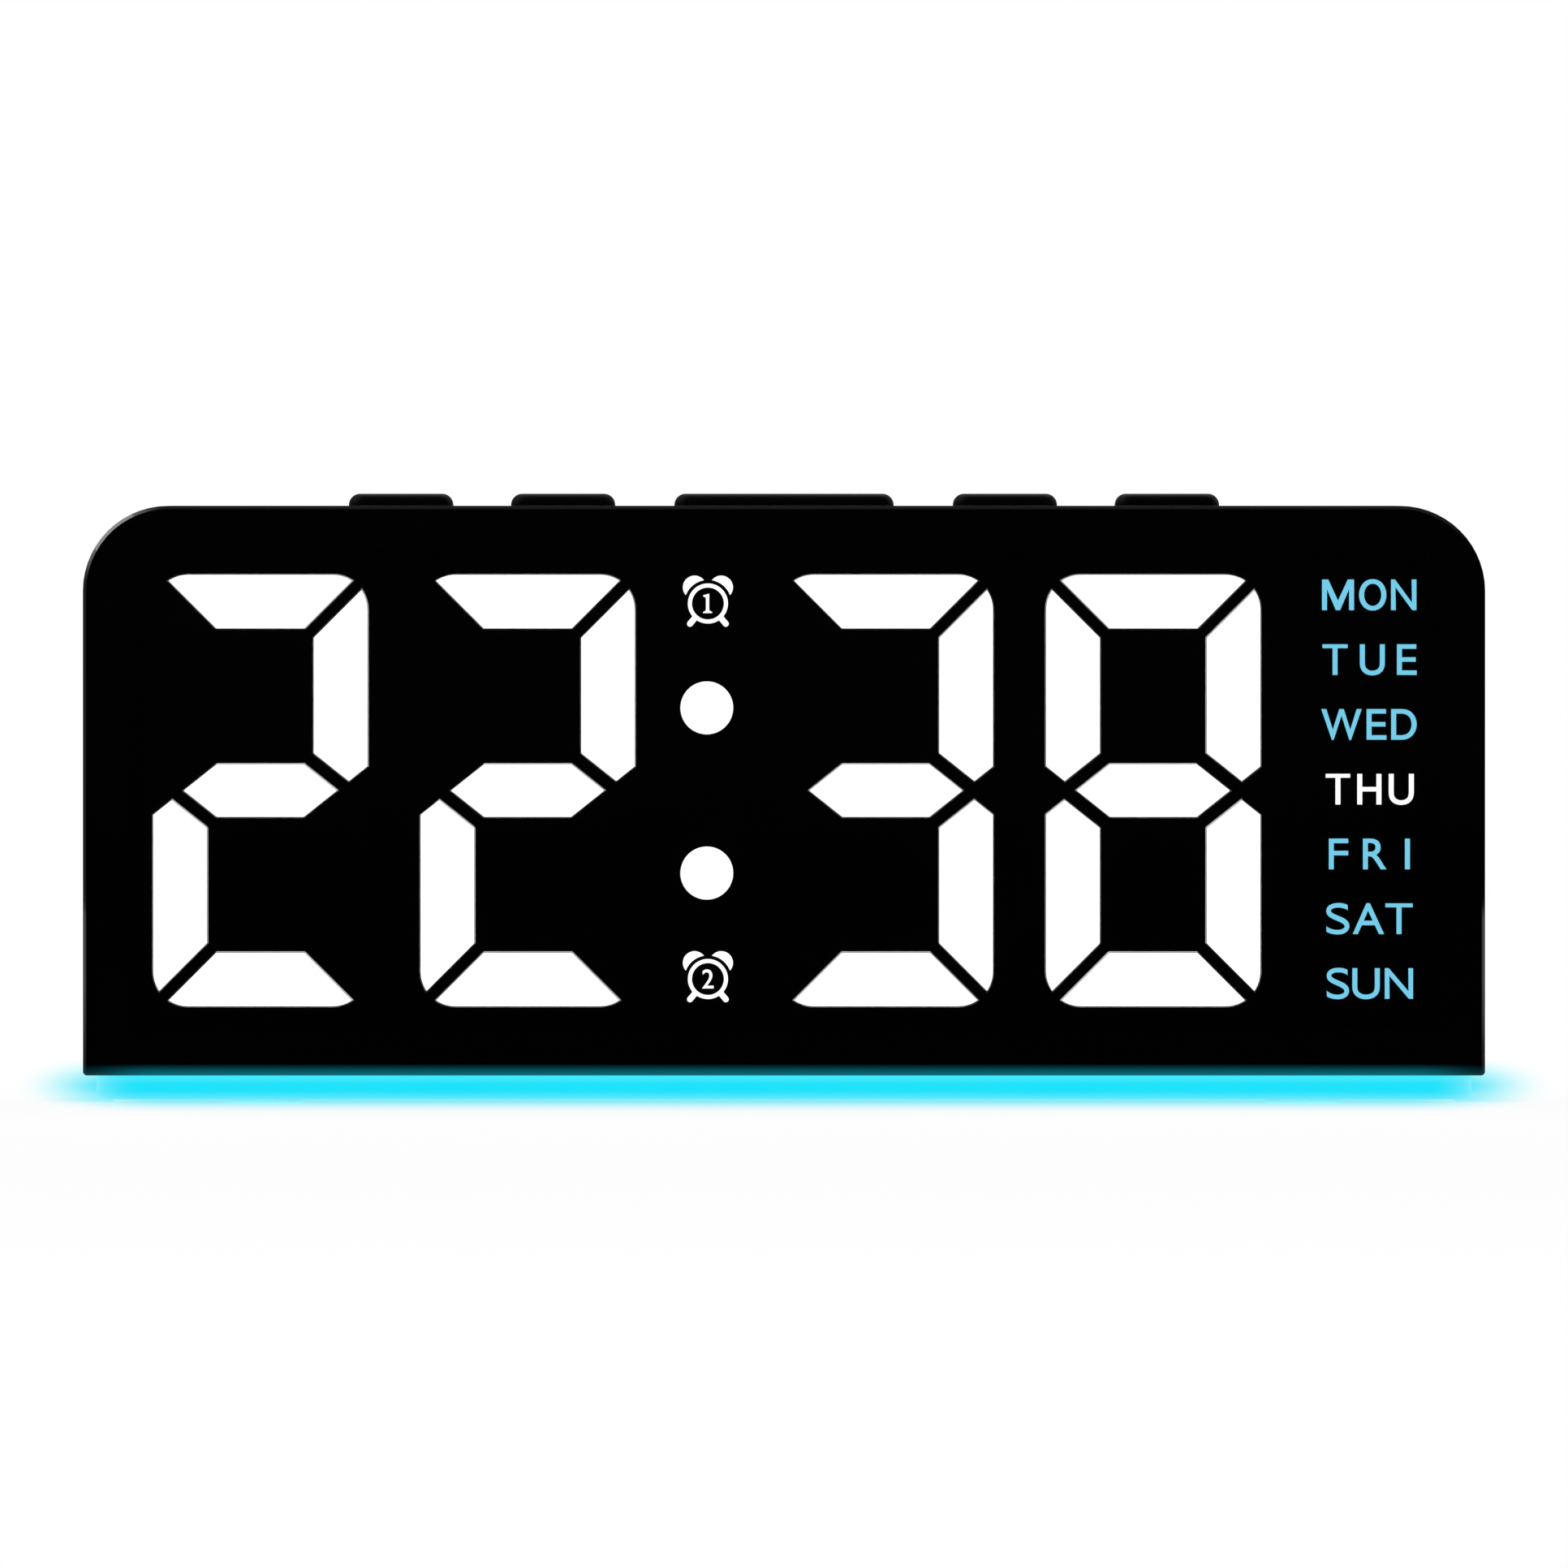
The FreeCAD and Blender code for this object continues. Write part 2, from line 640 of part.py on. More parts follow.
def cross_gaps(growth):
    """Where the middle bar meets the ring: two crossing gaps, open to the outside."""
    middle = "(digit_width / 2 - cross_inset)"
    half = f"(cross_gap / 2 - ({growth}))"
    point_z = f"({half} / cos(cross_angle))"
    point_x = f"({half} / sin(cross_angle))"
    out = f"(cross_inset + overcut + ({growth}))"
    inward = f"(stroke_width - cross_inset + {point_x} + overcut)"
    slope = "tan(cross_angle)"
    outlines = []
    for side in ("", "-"):
        outlines.append(polygon(
            (f"{side}{middle}", point_z),
            (f"{side}({middle} + {out})", f"{point_z} + {out} * {slope}"),
            (f"{side}({middle} + {out})", f"-({point_z} + {out} * {slope})"),
            (f"{side}{middle}", f"-{point_z}"),
            (f"{side}({middle} - {inward})", f"-({point_z} + {inward} * {slope})"),
            (f"{side}({middle} - {inward})", f"-({inward} - {point_x}) * {slope}"),
            (f"{side}({middle} - {point_x})", "0"),
            (f"{side}({middle} - {inward})", f"({inward} - {point_x}) * {slope}"),
            (f"{side}({middle} - {inward})", f"{point_z} + {inward} * {slope}"),
        ))
    return outlines


def weekday_height(index):
    """The height of a weekday's row: the first day is at the top."""
    return f"({MIDDLE} + ({(len(WEEKDAYS) - 1) / 2 - index}) * {WEEKDAY_PITCH})"


def colon_windows(growth):
    """The two dots between the hours and the minutes."""
    return [circle(COLON_X, f"{MIDDLE} {side} colon_spacing / 2", f"colon_dot_radius + ({growth})")
            for side in "+-"]


def sign_windows(growth, radius):
    """The two square windows above and below the colon."""
    side_length = f"sign_window + 2 * ({growth})"
    return [centred(COLON_X, f"{MIDDLE} {side} {SIGN_SPACING} / 2", side_length, side_length, radius)
            for side in "+-"]


def weekday_window(index, growth, radius):
    """One weekday's window."""
    return centred(WEEKDAY_X, weekday_height(index), f"weekday_window_width + 2 * ({growth})",
                   f"weekday_window_height + 2 * ({growth})", radius)


def small_windows(growth, radius):
    """Every window beside the digits."""
    weekdays = [weekday_window(index, growth, radius) for index in range(len(WEEKDAYS))]
    return colon_windows(growth) + sign_windows(growth, radius) + weekdays


def segment_reflector():
    """The block of light wells: each well has a seat for its diffuser and a narrower chamber behind it."""
    seat_back = f"({FRAME_FRONT} + diffuser_thickness)"
    block = Piece("reflector_blank")
    block.pad("XZ", FRAME_STEP, REFLECTOR_BACK, reflector_face("reflector_step"))
    block.pad("XZ", FRAME_FRONT, FRAME_STEP, reflector_face("0"))
    block.pocket("XZ", FRAME_FRONT, seat_back, *small_windows("diffuser_gap", "window_radius"))
    block.pocket("XZ", seat_back, REFLECTOR_BACK, *small_windows("-well_shelf", None))
    wells = []
    for index, x in enumerate(DIGITS, start=1):
        wells.append(digit(f"seat_{index}", x, "diffuser_gap", FRAME_FRONT, seat_back))
        wells.append(digit(f"chamber_{index}", x, "-well_shelf", seat_back, REFLECTOR_BACK))
    well_set = doc.addObject("Part::MultiFuse", "digit_wells")
    well_set.Shapes = wells
    reflector = doc.addObject("Part::Cut", "segment_reflector")
    reflector.Label = "segment_reflector"
    reflector.Base = block.body
    reflector.Tool = well_set
    return reflector


def diffusers():
    """The milky inserts of the wells: four digits, the colon, the signs and one for each weekday."""
    back = f"({FRAME_FRONT} + diffuser_thickness)"
    parts = [digit(f"digit_{index}", x, "0", FRAME_FRONT, back) for index, x in enumerate(DIGITS, start=1)]
    parts.append(Piece("colon_dots").pad("XZ", FRAME_FRONT, back, *colon_windows("0")).body)
    signs = Piece("alarm_signs").pad("XZ", FRAME_FRONT, back, *sign_windows("0", "window_radius"))
    parts.append(signs.body)
    for index, day in enumerate(WEEKDAYS):
        parts.append(Piece(f"weekday_{day}").pad(
            "XZ", FRAME_FRONT, back, weekday_window(index, "0", "window_radius")).body)
    return parts


def display_board():
    """The board that closes the back of the reflector."""
    board = Piece("display_board").pad(
        "XZ", REFLECTOR_BACK, BOARD_BACK,
        rectangle(f"board_side_inset - {SIDE}", f"{SIDE} - board_side_inset",
                  f"{CASE_BOTTOM} + board_end_inset", f"{CASE_TOP} - board_end_inset",
                  "board_top_radius", "board_bottom_radius"))
    board.pocket("XZ", REFLECTOR_BACK, BOARD_BACK,
                 *circles(BOARD_SCREWS, "small_screw_radius + 2 * screw_gap"))
    return board.body


def segment_leds():
    """One light-emitting diode behind each window."""
    side = "((digit_width - stroke_width) / 2)"
    end = "((digit_height - stroke_width) / 2)"
    quarter = "(digit_height / 4 - stroke_width / 8)"
    segments = [("0", end), (side, quarter), (side, f"-{quarter}"), ("0", f"-{end}"),
                (f"-{side}", f"-{quarter}"), (f"-{side}", quarter), ("0", "0")]
    places = [(f"{x} + {dx}", f"{MIDDLE} + {dz}") for x in DIGITS for dx, dz in segments]
    for spacing in ("colon_spacing", SIGN_SPACING):
        places += [(COLON_X, f"{MIDDLE} {sign} {spacing} / 2") for sign in "+-"]
    places += [(WEEKDAY_X, weekday_height(index)) for index in range(len(WEEKDAYS))]
    led = Piece("segment_led").pad("XZ", "-led_thickness", "0", centred("0", "0", "led_size", "led_size"))
    return group("segment_leds", led.body, [(x, REFLECTOR_BACK, z) for x, z in places])


def clock_chip():
    """The clock's controller on the back of the display board."""
    chip = Piece("clock_chip").pad("XZ", BOARD_BACK, f"{BOARD_BACK} + chip_thickness",
                                   centred("0", MIDDLE, "chip_size", "chip_size"))
    chip.fillet("chip_thickness / 4", on_level("y", f"{BOARD_BACK} + chip_thickness"))
    return chip.body


def led_drivers():
    """The two display drivers, left and right of the controller."""
    driver = Piece("led_driver").pad("XZ", "0", "driver_thickness",
                                     centred("0", "0", "driver_length", "driver_width"))
    return group("led_drivers", driver.body,
                 [(f"{side}chip_spacing", BOARD_BACK, MIDDLE) for side in ("-", "")])


def clock_crystal():
    """The crystal can, lying beside the controller."""
    can = Piece("clock_crystal")
    can.pad("YZ", "chip_size", "chip_size + crystal_length",
            circle(f"{BOARD_BACK} + crystal_radius", MIDDLE, "crystal_radius"))
    return can.body


def screw_body(label, shank_radius, head_radius, head_height, length):
    """A pan-head screw along +Z, with the underside of its head at the origin."""
    return Piece(label).revolve("XZ", "0", polygon(
        ("0", f"-({head_height})"), (head_radius, f"-({head_height})"), (head_radius, "0"),
        (shank_radius, "0"), (shank_radius, length), ("0", length)), "V_Axis").body


def small_screws():
    """The screws of the display board, the button board and the power board."""
    screw = screw_body("small_screw", "small_screw_radius", "small_screw_head_radius",
                       "small_screw_head_height", "small_screw_length")
    forwards = FreeCAD.Rotation(FreeCAD.Vector(1, 0, 0), 90)
    downwards = FreeCAD.Rotation(FreeCAD.Vector(1, 0, 0), 180)
    return [
        group("board_screws", screw, [(x, BOARD_BACK, z) for x, z in BOARD_SCREWS], forwards),
        group("button_board_screws", screw, [(x, y, BUTTON_BOARD_BOTTOM) for x, y in BUTTON_POSTS]),
        group("power_board_screws", screw, [(x, y, POWER_BOARD_TOP) for x, y in POWER_POSTS], downwards),
    ]


def rear_housing():
    """The bucket behind the front frame: lip, screw wells, button windows, battery opening and posts."""
    housing = Piece("rear_housing").pad("XZ", PARTING, BACK, case_outline())
    housing.fillet("case_back_radius", on_level("y", BACK))
    housing.chamfer("seam_chamfer", on_level("y", PARTING))
    housing.pocket("XZ", PARTING, BACK_INSIDE, case_outline("case_wall"))
    housing.pad("XZ", f"{PARTING} - lip_length", PARTING, case_outline("lip_inset"),
                case_outline("lip_inset + lip_thickness"))
    housing.pad("XZ", PARTING, BACK_INSIDE, *circles(CASE_SCREWS, "well_tube_radius"))
    housing.pocket("XZ", f"{PARTING} + well_floor", BACK, *circles(CASE_SCREWS, "well_bore_radius"))
    housing.pocket("XZ", PARTING, f"{PARTING} + well_floor",
                   *circles(CASE_SCREWS, "case_screw_radius + 2 * screw_gap"))
    add_button_seats(housing)
    add_floor_details(housing)
    add_back_openings(housing)
    return housing.body


def add_button_seats(housing):
    """Windows in the roof for the buttons, and the posts that carry their board."""
    housing.pocket("XY", ROOF_INSIDE, CASE_TOP, *[
        centred(x, "button_y", f"{width} + 2 * button_gap", "button_depth + 2 * button_gap",
                "button_plan_radius + button_gap") for _, x, width in BUTTONS])
    housing.pad("XY", BUTTON_BOARD_TOP, ROOF_INSIDE, *circles(BUTTON_POSTS, "button_post_radius"))
    housing.pocket("XY", BUTTON_BOARD_TOP, f"{BUTTON_BOARD_BOTTOM} + small_screw_length + screw_tip_gap",
                   *circles(BUTTON_POSTS, "small_screw_radius + screw_gap"))


def add_floor_details(housing):
    """Posts for the power board, the light board and the base, and the night light's windows."""
    housing.pad("XY", FLOOR_INSIDE, POWER_BOARD_BOTTOM, *circles(POWER_POSTS, "power_post_radius"))
    housing.pocket("XY", f"{POWER_BOARD_TOP} - small_screw_length - screw_tip_gap", POWER_BOARD_BOTTOM,
                   *circles(POWER_POSTS, "small_screw_radius + screw_gap"))
    housing.pad("XY", FLOOR_INSIDE, f"{FLOOR_INSIDE} + light_board_thickness + stake_radius",
                *circles(STAKES, "stake_radius"))
    housing.pad("XY", FLOOR_INSIDE, f"{FLOOR_INSIDE} + base_boss_height",
                *circles(BASE_SCREWS, "base_boss_radius"))
    housing.pocket("XY", CASE_BOTTOM, "foot_proud + base_screw_length + screw_tip_gap",
                   *circles(BASE_SCREWS, "base_screw_radius + screw_gap"))
    housing.pocket("XY", CASE_BOTTOM, FLOOR_INSIDE,
                   centred(f"light_end - {LIGHT_SIDE}", "light_board_y", "light_window", "light_window"))
    housing.repeat("X", f"{LIGHT_LEDS - 1} * {LIGHT_PITCH}", LIGHT_LEDS)


def add_back_openings(housing):
    """The battery opening, the socket's opening, and the buzzer's collar and sound holes."""
    housing.pad("XZ", f"{BACK_INSIDE} - buzzer_thickness", BACK_INSIDE,
                circle(BUZZER_X, BUZZER_MIDDLE, "buzzer_radius + buzzer_gap + buzzer_collar"),
                circle(BUZZER_X, BUZZER_MIDDLE, "buzzer_radius + buzzer_gap"))
    turn = 360 // GRILLE_HOLES
    ring = [(f"{BUZZER_X} + grille_ring_radius * cos({turn * step})",
             f"{BUZZER_MIDDLE} + grille_ring_radius * sin({turn * step})") for step in range(GRILLE_HOLES)]
    housing.pocket("XZ", BACK_INSIDE, BACK, circle(BUZZER_X, BUZZER_MIDDLE, "grille_hole_radius"),
                   *circles(ring, "grille_hole_radius"))
    housing.pocket("XZ", BACK_INSIDE, BACK,
                   rectangle(f"-{BAY_END}", BAY_END, BAY_LOW, BAY_HIGH),
                   centred(USB_X, USB_MIDDLE, "usb_width + 2 * usb_gap", "usb_height + 2 * usb_gap",
                           "usb_radius + usb_gap"))


def case_screws():
    """The long-reach screws at the bottom of the rear housing's wells."""
    screw = screw_body("case_screw", "case_screw_radius", "case_screw_head_radius",
                       "case_screw_head_height", "case_screw_length")
    forwards = FreeCAD.Rotation(FreeCAD.Vector(1, 0, 0), 90)
    return group("case_screws", screw, [(x, f"{PARTING} + well_floor", z) for x, z in CASE_SCREWS], forwards)


def button_cap(name, x, width):
    """A cap with rounded top edges, a flange that keeps it in the case and a stem over its switch."""
    cap = Piece("snooze_bar" if name == "snooze" else f"button_{name}")
    cap.pad("XY", FLANGE_BOTTOM, f"{CASE_TOP} + button_proud",
            centred("0", "0", width, "button_depth", "button_plan_radius"))
    cap.fillet("button_edge_radius", on_level("z", f"{CASE_TOP} + button_proud"))
    cap.pocket("XY", f"{CASE_TOP} + button_proud - dish_depth", f"{CASE_TOP} + button_proud",
               centred("0", "0", f"{width} - 2 * dish_inset", "button_depth - 2 * dish_inset",
                       "button_plan_radius / 2"))
    cap.pad("XY", FLANGE_BOTTOM, FLANGE_TOP,
            centred("0", "0", f"{width} + 2 * flange_lip", "button_depth + 2 * flange_lip",
                    "button_plan_radius + flange_lip"))
    cap.pad("XY", PLUNGER_TOP, FLANGE_BOTTOM, circle("0", "0", "stem_radius"))
    return cap.move(x=x, y="button_y").body


def plunger(name, x):
    """The switch's own plunger, which the stem presses."""
    rod = Piece(f"plunger_{name}").pad("XY", f"{PLUNGER_TOP} - plunger_length", PLUNGER_TOP,
                                       circle("0", "0", "plunger_radius"))
    return rod.move(x=x, y="button_y").body


def button_board():
    """The board under the buttons, screwed up to its posts."""
    board = Piece("button_board").pad(
        "XY", BUTTON_BOARD_BOTTOM, BUTTON_BOARD_TOP,
        centred("0", "button_y", f"2 * ({BUTTON_POST_OUTER} + button_board_margin)", "button_board_depth"))
    board.pocket("XY", BUTTON_BOARD_BOTTOM, BUTTON_BOARD_TOP,
                 *circles(BUTTON_POSTS, "small_screw_radius + 2 * screw_gap"))
    return board.body


def tactile_switches():
    """Five switch bodies, each with a blind hole for its plunger."""
    switch = Piece("tactile_switch").pad("XY", BUTTON_BOARD_TOP, SWITCH_TOP,
                                         centred("0", "0", "switch_size", "switch_size"))
    switch.pocket("XY", f"{PLUNGER_TOP} - plunger_length - button_travel - plunger_gap", SWITCH_TOP,
                  circle("0", "0", "plunger_radius + plunger_gap"))
    return group("tactile_switches", switch.body, [(x, "button_y", "0") for _, x, _ in BUTTONS])


def board_header():
    """The plug strip between the display board and the button board."""
    front_edge = "button_y - button_board_depth / 2"
    header = Piece("board_header").pad(
        "XZ", BOARD_BACK, front_edge,
        centred("0", f"({BUTTON_BOARD_BOTTOM} + board_thickness / 2)", "header_width", "header_height"))
    return header.body


def battery_box():
    """The tray behind the door: three troughs for the cells, and slots where the door's tongues swing."""
    box = Piece("battery_box").pad(
        "XZ", BAY_FRONT, BACK_INSIDE,
        rectangle(f"-{BAY_END} - bay_wall", f"{BAY_END} + bay_wall",
                  f"{BAY_LOW} - bay_wall", f"{BAY_HIGH} + bay_wall"))
    box.pocket("XZ", CELL_Y, BACK_INSIDE, rectangle(f"-{BAY_END}", BAY_END, BAY_LOW, BAY_HIGH))
    box.pocket("YZ", f"-{BAY_END}", BAY_END,
               *[circle(CELL_Y, cell_height(index), CELL_SEAT) for index in range(3)])
    swing = "(tongue_reach + tongue_thickness + tongue_root)"
    slot_width = "tongue_width + 2 * door_gap"
    slot_middle = f"({BAY_LOW} - bay_wall / 2)"
    box.pocket("XZ", f"{BACK_INSIDE} - {swing}", BACK_INSIDE,
               *[centred(f"({side}tongue_x)", slot_middle, slot_width, "bay_wall + door_gap")
                 for side in ("-", "")])
    return box.body


def cell_height(index):
    """The height of a cell's axis: the first cell is the lowest."""
    return f"({BAY_MIDDLE} + ({index - 1}) * cell_pitch)"


def battery_cells():
    """Three cells, the middle one turned end for end."""
    total = "(cell_length + cell_nub_length)"
    shoulder = f"{total} / 2 - cell_nub_length"
    cell = Piece("battery_cell").revolve("XZ", "0", polygon(
        (f"-{total} / 2", "0"), (f"-{total} / 2", "cell_radius"), (shoulder, "cell_radius"),
        (shoulder, "cell_nub_radius"), (f"{total} / 2", "cell_nub_radius"), (f"{total} / 2", "0")),
        "H_Axis").body
    half_turn = FreeCAD.Rotation(FreeCAD.Vector(0, 0, 1), 180)
    shift = f"({BAY_END} - contact_thickness - cell_gap - {total} / 2)"
    outer = group("outer_cells", cell, [(shift, CELL_Y, cell_height(index)) for index in (0, 2)])
    middle = group("middle_cell", cell, [(f"-{shift}", CELL_Y, cell_height(1))], half_turn)
    cells = doc.addObject("Part::Compound", "battery_cells")
    cells.Label = "battery_cells"
    cells.Links = [outer, middle]
    return cells


def contact_springs():
    """Bent leaf springs at the flat end of each cell."""
    wall = f"-{BAY_END}"
    half = "(contact_width / 2)"
    leaf = Piece("contact_spring").pad("XY", "-spring_width / 2", "spring_width / 2", polygon(
        (wall, f"-{half}"), (f"{wall} + contact_thickness", f"-{half}"),
        (f"{wall} + contact_thickness + spring_length", "-contact_thickness"),
        (f"{wall} + contact_thickness + spring_length", "contact_thickness"),
        (f"{wall} + 2 * contact_thickness", f"{half}"),
        (wall, f"{half}"),
        (wall, f"{half} - contact_thickness"),
        (f"{wall} + contact_thickness", f"{half} - contact_thickness"),
        (f"{wall} + spring_length", "0"),
        (wall, f"-{half} + contact_thickness"))).body
    half_turn = FreeCAD.Rotation(FreeCAD.Vector(0, 0, 1), 180)
    outer = group("outer_springs", leaf, [("0", CELL_Y, cell_height(index)) for index in (0, 2)])
    middle = group("middle_spring", leaf, [("0", CELL_Y, cell_height(1))], half_turn)
    springs = doc.addObject("Part::Compound", "contact_springs")
    springs.Label = "contact_springs"
    springs.Links = [outer, middle]
    return springs


def contact_plates():
    """Flat contacts at the pip end of each cell."""
    plate = Piece("contact_plate").pad("YZ", "-contact_thickness", "0",
                                       centred("0", "0", "contact_width", "contact_width"))
    places = [(BAY_END, CELL_Y, cell_height(index)) for index in (0, 2)]
    places.append((f"contact_thickness - {BAY_END}", CELL_Y, cell_height(1)))
    return group("contact_plates", plate.body, places)


def battery_door():
    """The door, with two tongues behind its lower edge and a springy, grooved latch finger at the top."""
    inner = f"({BACK} - door_thickness)"
    low = f"({BAY_LOW} + door_gap)"
    high = f"({BAY_HIGH} - door_gap)"
    tongue_back = f"({BACK_INSIDE} - tongue_gap)"
    tongue_front = f"({tongue_back} - tongue_thickness)"
    door = Piece("battery_door").pad(
        "XZ", inner, BACK, rectangle(f"door_gap - {BAY_END}", f"{BAY_END} - door_gap", low, high))
    for side in ("-", ""):
        left = f"({side}tongue_x - tongue_width / 2)"
        right = f"({side}tongue_x + tongue_width / 2)"
        door.pad("XZ", tongue_front, inner, rectangle(left, right, low, f"{low} + tongue_root"))
        door.pad("XZ", tongue_front, tongue_back, rectangle(left, right, f"{BAY_LOW} - tongue_reach", low))
    latch_side = "(latch_width / 2)"
    door.pocket("XZ", inner, BACK, *[
        rectangle(f"{side} {latch_side} - latch_slit / 2", f"{side} {latch_side} + latch_slit / 2",
                  f"{high} - latch_length", f"{high} + overcut") for side in "-+"])
    door.pad("XZ", inner, f"{inner} + door_thickness / 2",
             rectangle(f"latch_slit - {latch_side}", f"{latch_side} - latch_slit",
                       high, f"{high} + latch_nub"))
    steps = [index - (GRIP_GROOVES - 1) / 2 for index in range(GRIP_GROOVES)]
    door.pocket("XZ", f"{BACK} - grip_depth", BACK, *[
        centred("0", f"({high} - latch_length / 2 + ({step}) * grip_pitch)",
                "latch_width - latch_slit - 2 * grip_border", "grip_groove") for step in steps])
    return door.body


def power_board():
    """The board that carries the power socket."""
    board = Piece("power_board").pad(
        "XY", POWER_BOARD_BOTTOM, POWER_BOARD_TOP,
        centred(USB_X, POWER_BOARD_MIDDLE, "power_board_width", "power_board_depth"))
    board.pocket("XY", POWER_BOARD_BOTTOM, POWER_BOARD_TOP,
                 *circles(POWER_POSTS, "small_screw_radius + 2 * screw_gap"))
    return board.body


def usb_socket():
    """The power socket: a rounded shell with a flat tongue inside, open towards the back."""
    mouth = f"({BACK} - usb_recess)"
    start = f"({mouth} - usb_length)"
    socket = Piece("usb_socket").pad("XZ", start, mouth,
                                     centred(USB_X, USB_MIDDLE, "usb_width", "usb_height", "usb_radius"))
    socket.pocket("XZ", f"{start} + usb_shell", mouth,
                  centred(USB_X, USB_MIDDLE, "usb_width - 2 * usb_shell", "usb_height - 2 * usb_shell",
                          "usb_radius - usb_shell"))
    socket.pad("XZ", start, f"{mouth} - usb_recess",
               centred(USB_X, USB_MIDDLE, "usb_tongue_width", "usb_tongue_thickness"))
    return socket.body


def ribbon_sockets():
    """The two sockets of the ribbon cable, on the display board and on the power board."""
    height = f"({POWER_BOARD_TOP} + ribbon_socket_height / 2)"
    outline = centred(USB_X, height, "ribbon_socket_width", "ribbon_socket_height")
    front = f"({POWER_BOARD_BACK} - power_board_depth)"
    sockets = Piece("ribbon_sockets")
    sockets.pad("XZ", BOARD_BACK, f"{BOARD_BACK} + ribbon_socket_depth", outline)
    sockets.pad("XZ", front, f"{front} + ribbon_socket_depth", outline)
    return sockets.body


def ribbon_cable():
    """The flat cable between the two ribbon sockets."""
    height = f"({POWER_BOARD_TOP} + ribbon_socket_height / 2)"
    front = f"({POWER_BOARD_BACK} - power_board_depth)"
    return Piece("ribbon_cable").pad("XZ", f"{BOARD_BACK} + ribbon_socket_depth", front,
                                     centred(USB_X, height, "ribbon_width", "ribbon_thickness")).body


def buzzer():
    """The buzzer in its collar, with its sound port towards the back."""
    back = f"({BACK_INSIDE} - buzzer_gap)"
    unit = Piece("buzzer").pad("XZ", f"{back} - buzzer_thickness", back,
                               circle(BUZZER_X, BUZZER_MIDDLE, "buzzer_radius"))
    unit.pocket("XZ", f"{back} - buzzer_thickness / 4", back,
                circle(BUZZER_X, BUZZER_MIDDLE, "buzzer_port_radius"))
    return unit.body


def light_board():
    """The night light's board, held down by two stakes."""
    board = Piece("light_board").pad("XY", FLOOR_INSIDE, f"{FLOOR_INSIDE} + light_board_thickness",
                                     centred("0", "light_board_y", f"2 * {LIGHT_SIDE}", "light_board_depth"))
    board.pocket("XY", FLOOR_INSIDE, f"{FLOOR_INSIDE} + light_board_thickness",
                 *circles(STAKES, "stake_radius + stake_gap"))
    return board.body


def light_leds():
    """The night light's diodes, each in its own window in the case floor."""
    led = Piece("light_led").pad("XY", "-light_led_thickness", "0",
                                 centred("0", "0", "light_led_size", "light_led_size"))
    steps = [index - (LIGHT_LEDS - 1) / 2 for index in range(LIGHT_LEDS)]
    return group("light_leds", led.body, [(f"({step}) * {LIGHT_PITCH}", "light_board_y", FLOOR_INSIDE)
                                          for step in steps])


def plinth_outline(inset):
    """The outline of the light guide, or one inside it, at an inset from the case's sides."""
    return centred("0", "0", f"{CASE_WIDTH} - 2 * ({inset})", f"{CASE_DEPTH} - 2 * ({inset})",
                   f"base_corner_radius + light_guide_inset - ({inset})")


def light_guide():
    """The milky tray under the case, whose rim glows all round the base plate."""
    guide = Piece("light_guide").pad("XY", "foot_proud", CASE_BOTTOM, plinth_outline("light_guide_inset"))
    guide.chamfer("light_guide_chamfer", on_level("z", "foot_proud"))
    guide.pocket("XY", "foot_proud", PLATE_TOP, plinth_outline(f"{PLATE_INSET} - base_plate_gap"))
    guide.pocket("XY", PLATE_TOP, CASE_BOTTOM, *circles(BASE_SCREWS, "base_screw_radius + 2 * screw_gap"))
    return guide.body


def base_plate():
    """The plate inside the light guide's rim, with seats for the feet and the screws."""
    plate = Piece("base_plate").pad("XY", "foot_proud", PLATE_TOP, plinth_outline(PLATE_INSET))
    plate.pocket("XY", "foot_proud", "foot_thickness", *circles(FEET, "foot_radius + foot_gap"))
    plate.pocket("XY", "foot_proud", PLATE_TOP, *circles(BASE_SCREWS, "base_screw_radius + 2 * screw_gap"))
    sink = "(base_screw_head_radius + 2 * screw_gap)"
    plate.chamfer(f"{sink} - base_screw_radius - 2 * screw_gap", screw_rims(plate))
    return plate.body


def screw_rims(plate):
    """A test for the lower rims of the base plate's screw holes."""
    radius = value("base_screw_radius + 2 * screw_gap")
    places = [(value(x), value(y)) for x, y in BASE_SCREWS]
    level = value("foot_proud")
    slack = 1e-4

    def chosen(point):
        rim = any(abs(math.hypot(point.x - x, point.y - y) - radius) < slack for x, y in places)
        return rim and abs(point.z - level) < slack
    return chosen


def base_screws():
    """Countersunk screws through the base plate and the light guide into the case."""
    cone = "(base_screw_head_radius - base_screw_radius)"
    screw = Piece("base_screw").revolve("XZ", "0", polygon(
        ("0", "0"), ("base_screw_head_radius", "0"), ("base_screw_radius", cone),
        ("base_screw_radius", "base_screw_length"), ("0", "base_screw_length")), "V_Axis").body
    return group("base_screws", screw, [(x, y, "foot_proud") for x, y in BASE_SCREWS])


def rubber_feet():
    """Four round feet, each in its seat."""
    foot = Piece("rubber_foot").pad("XY", "0", "foot_thickness", circle("0", "0", "foot_radius"))
    foot.chamfer("foot_edge", on_level("z", "0"))
    return group("rubber_feet", foot.body, [(x, y, "0") for x, y in FEET])


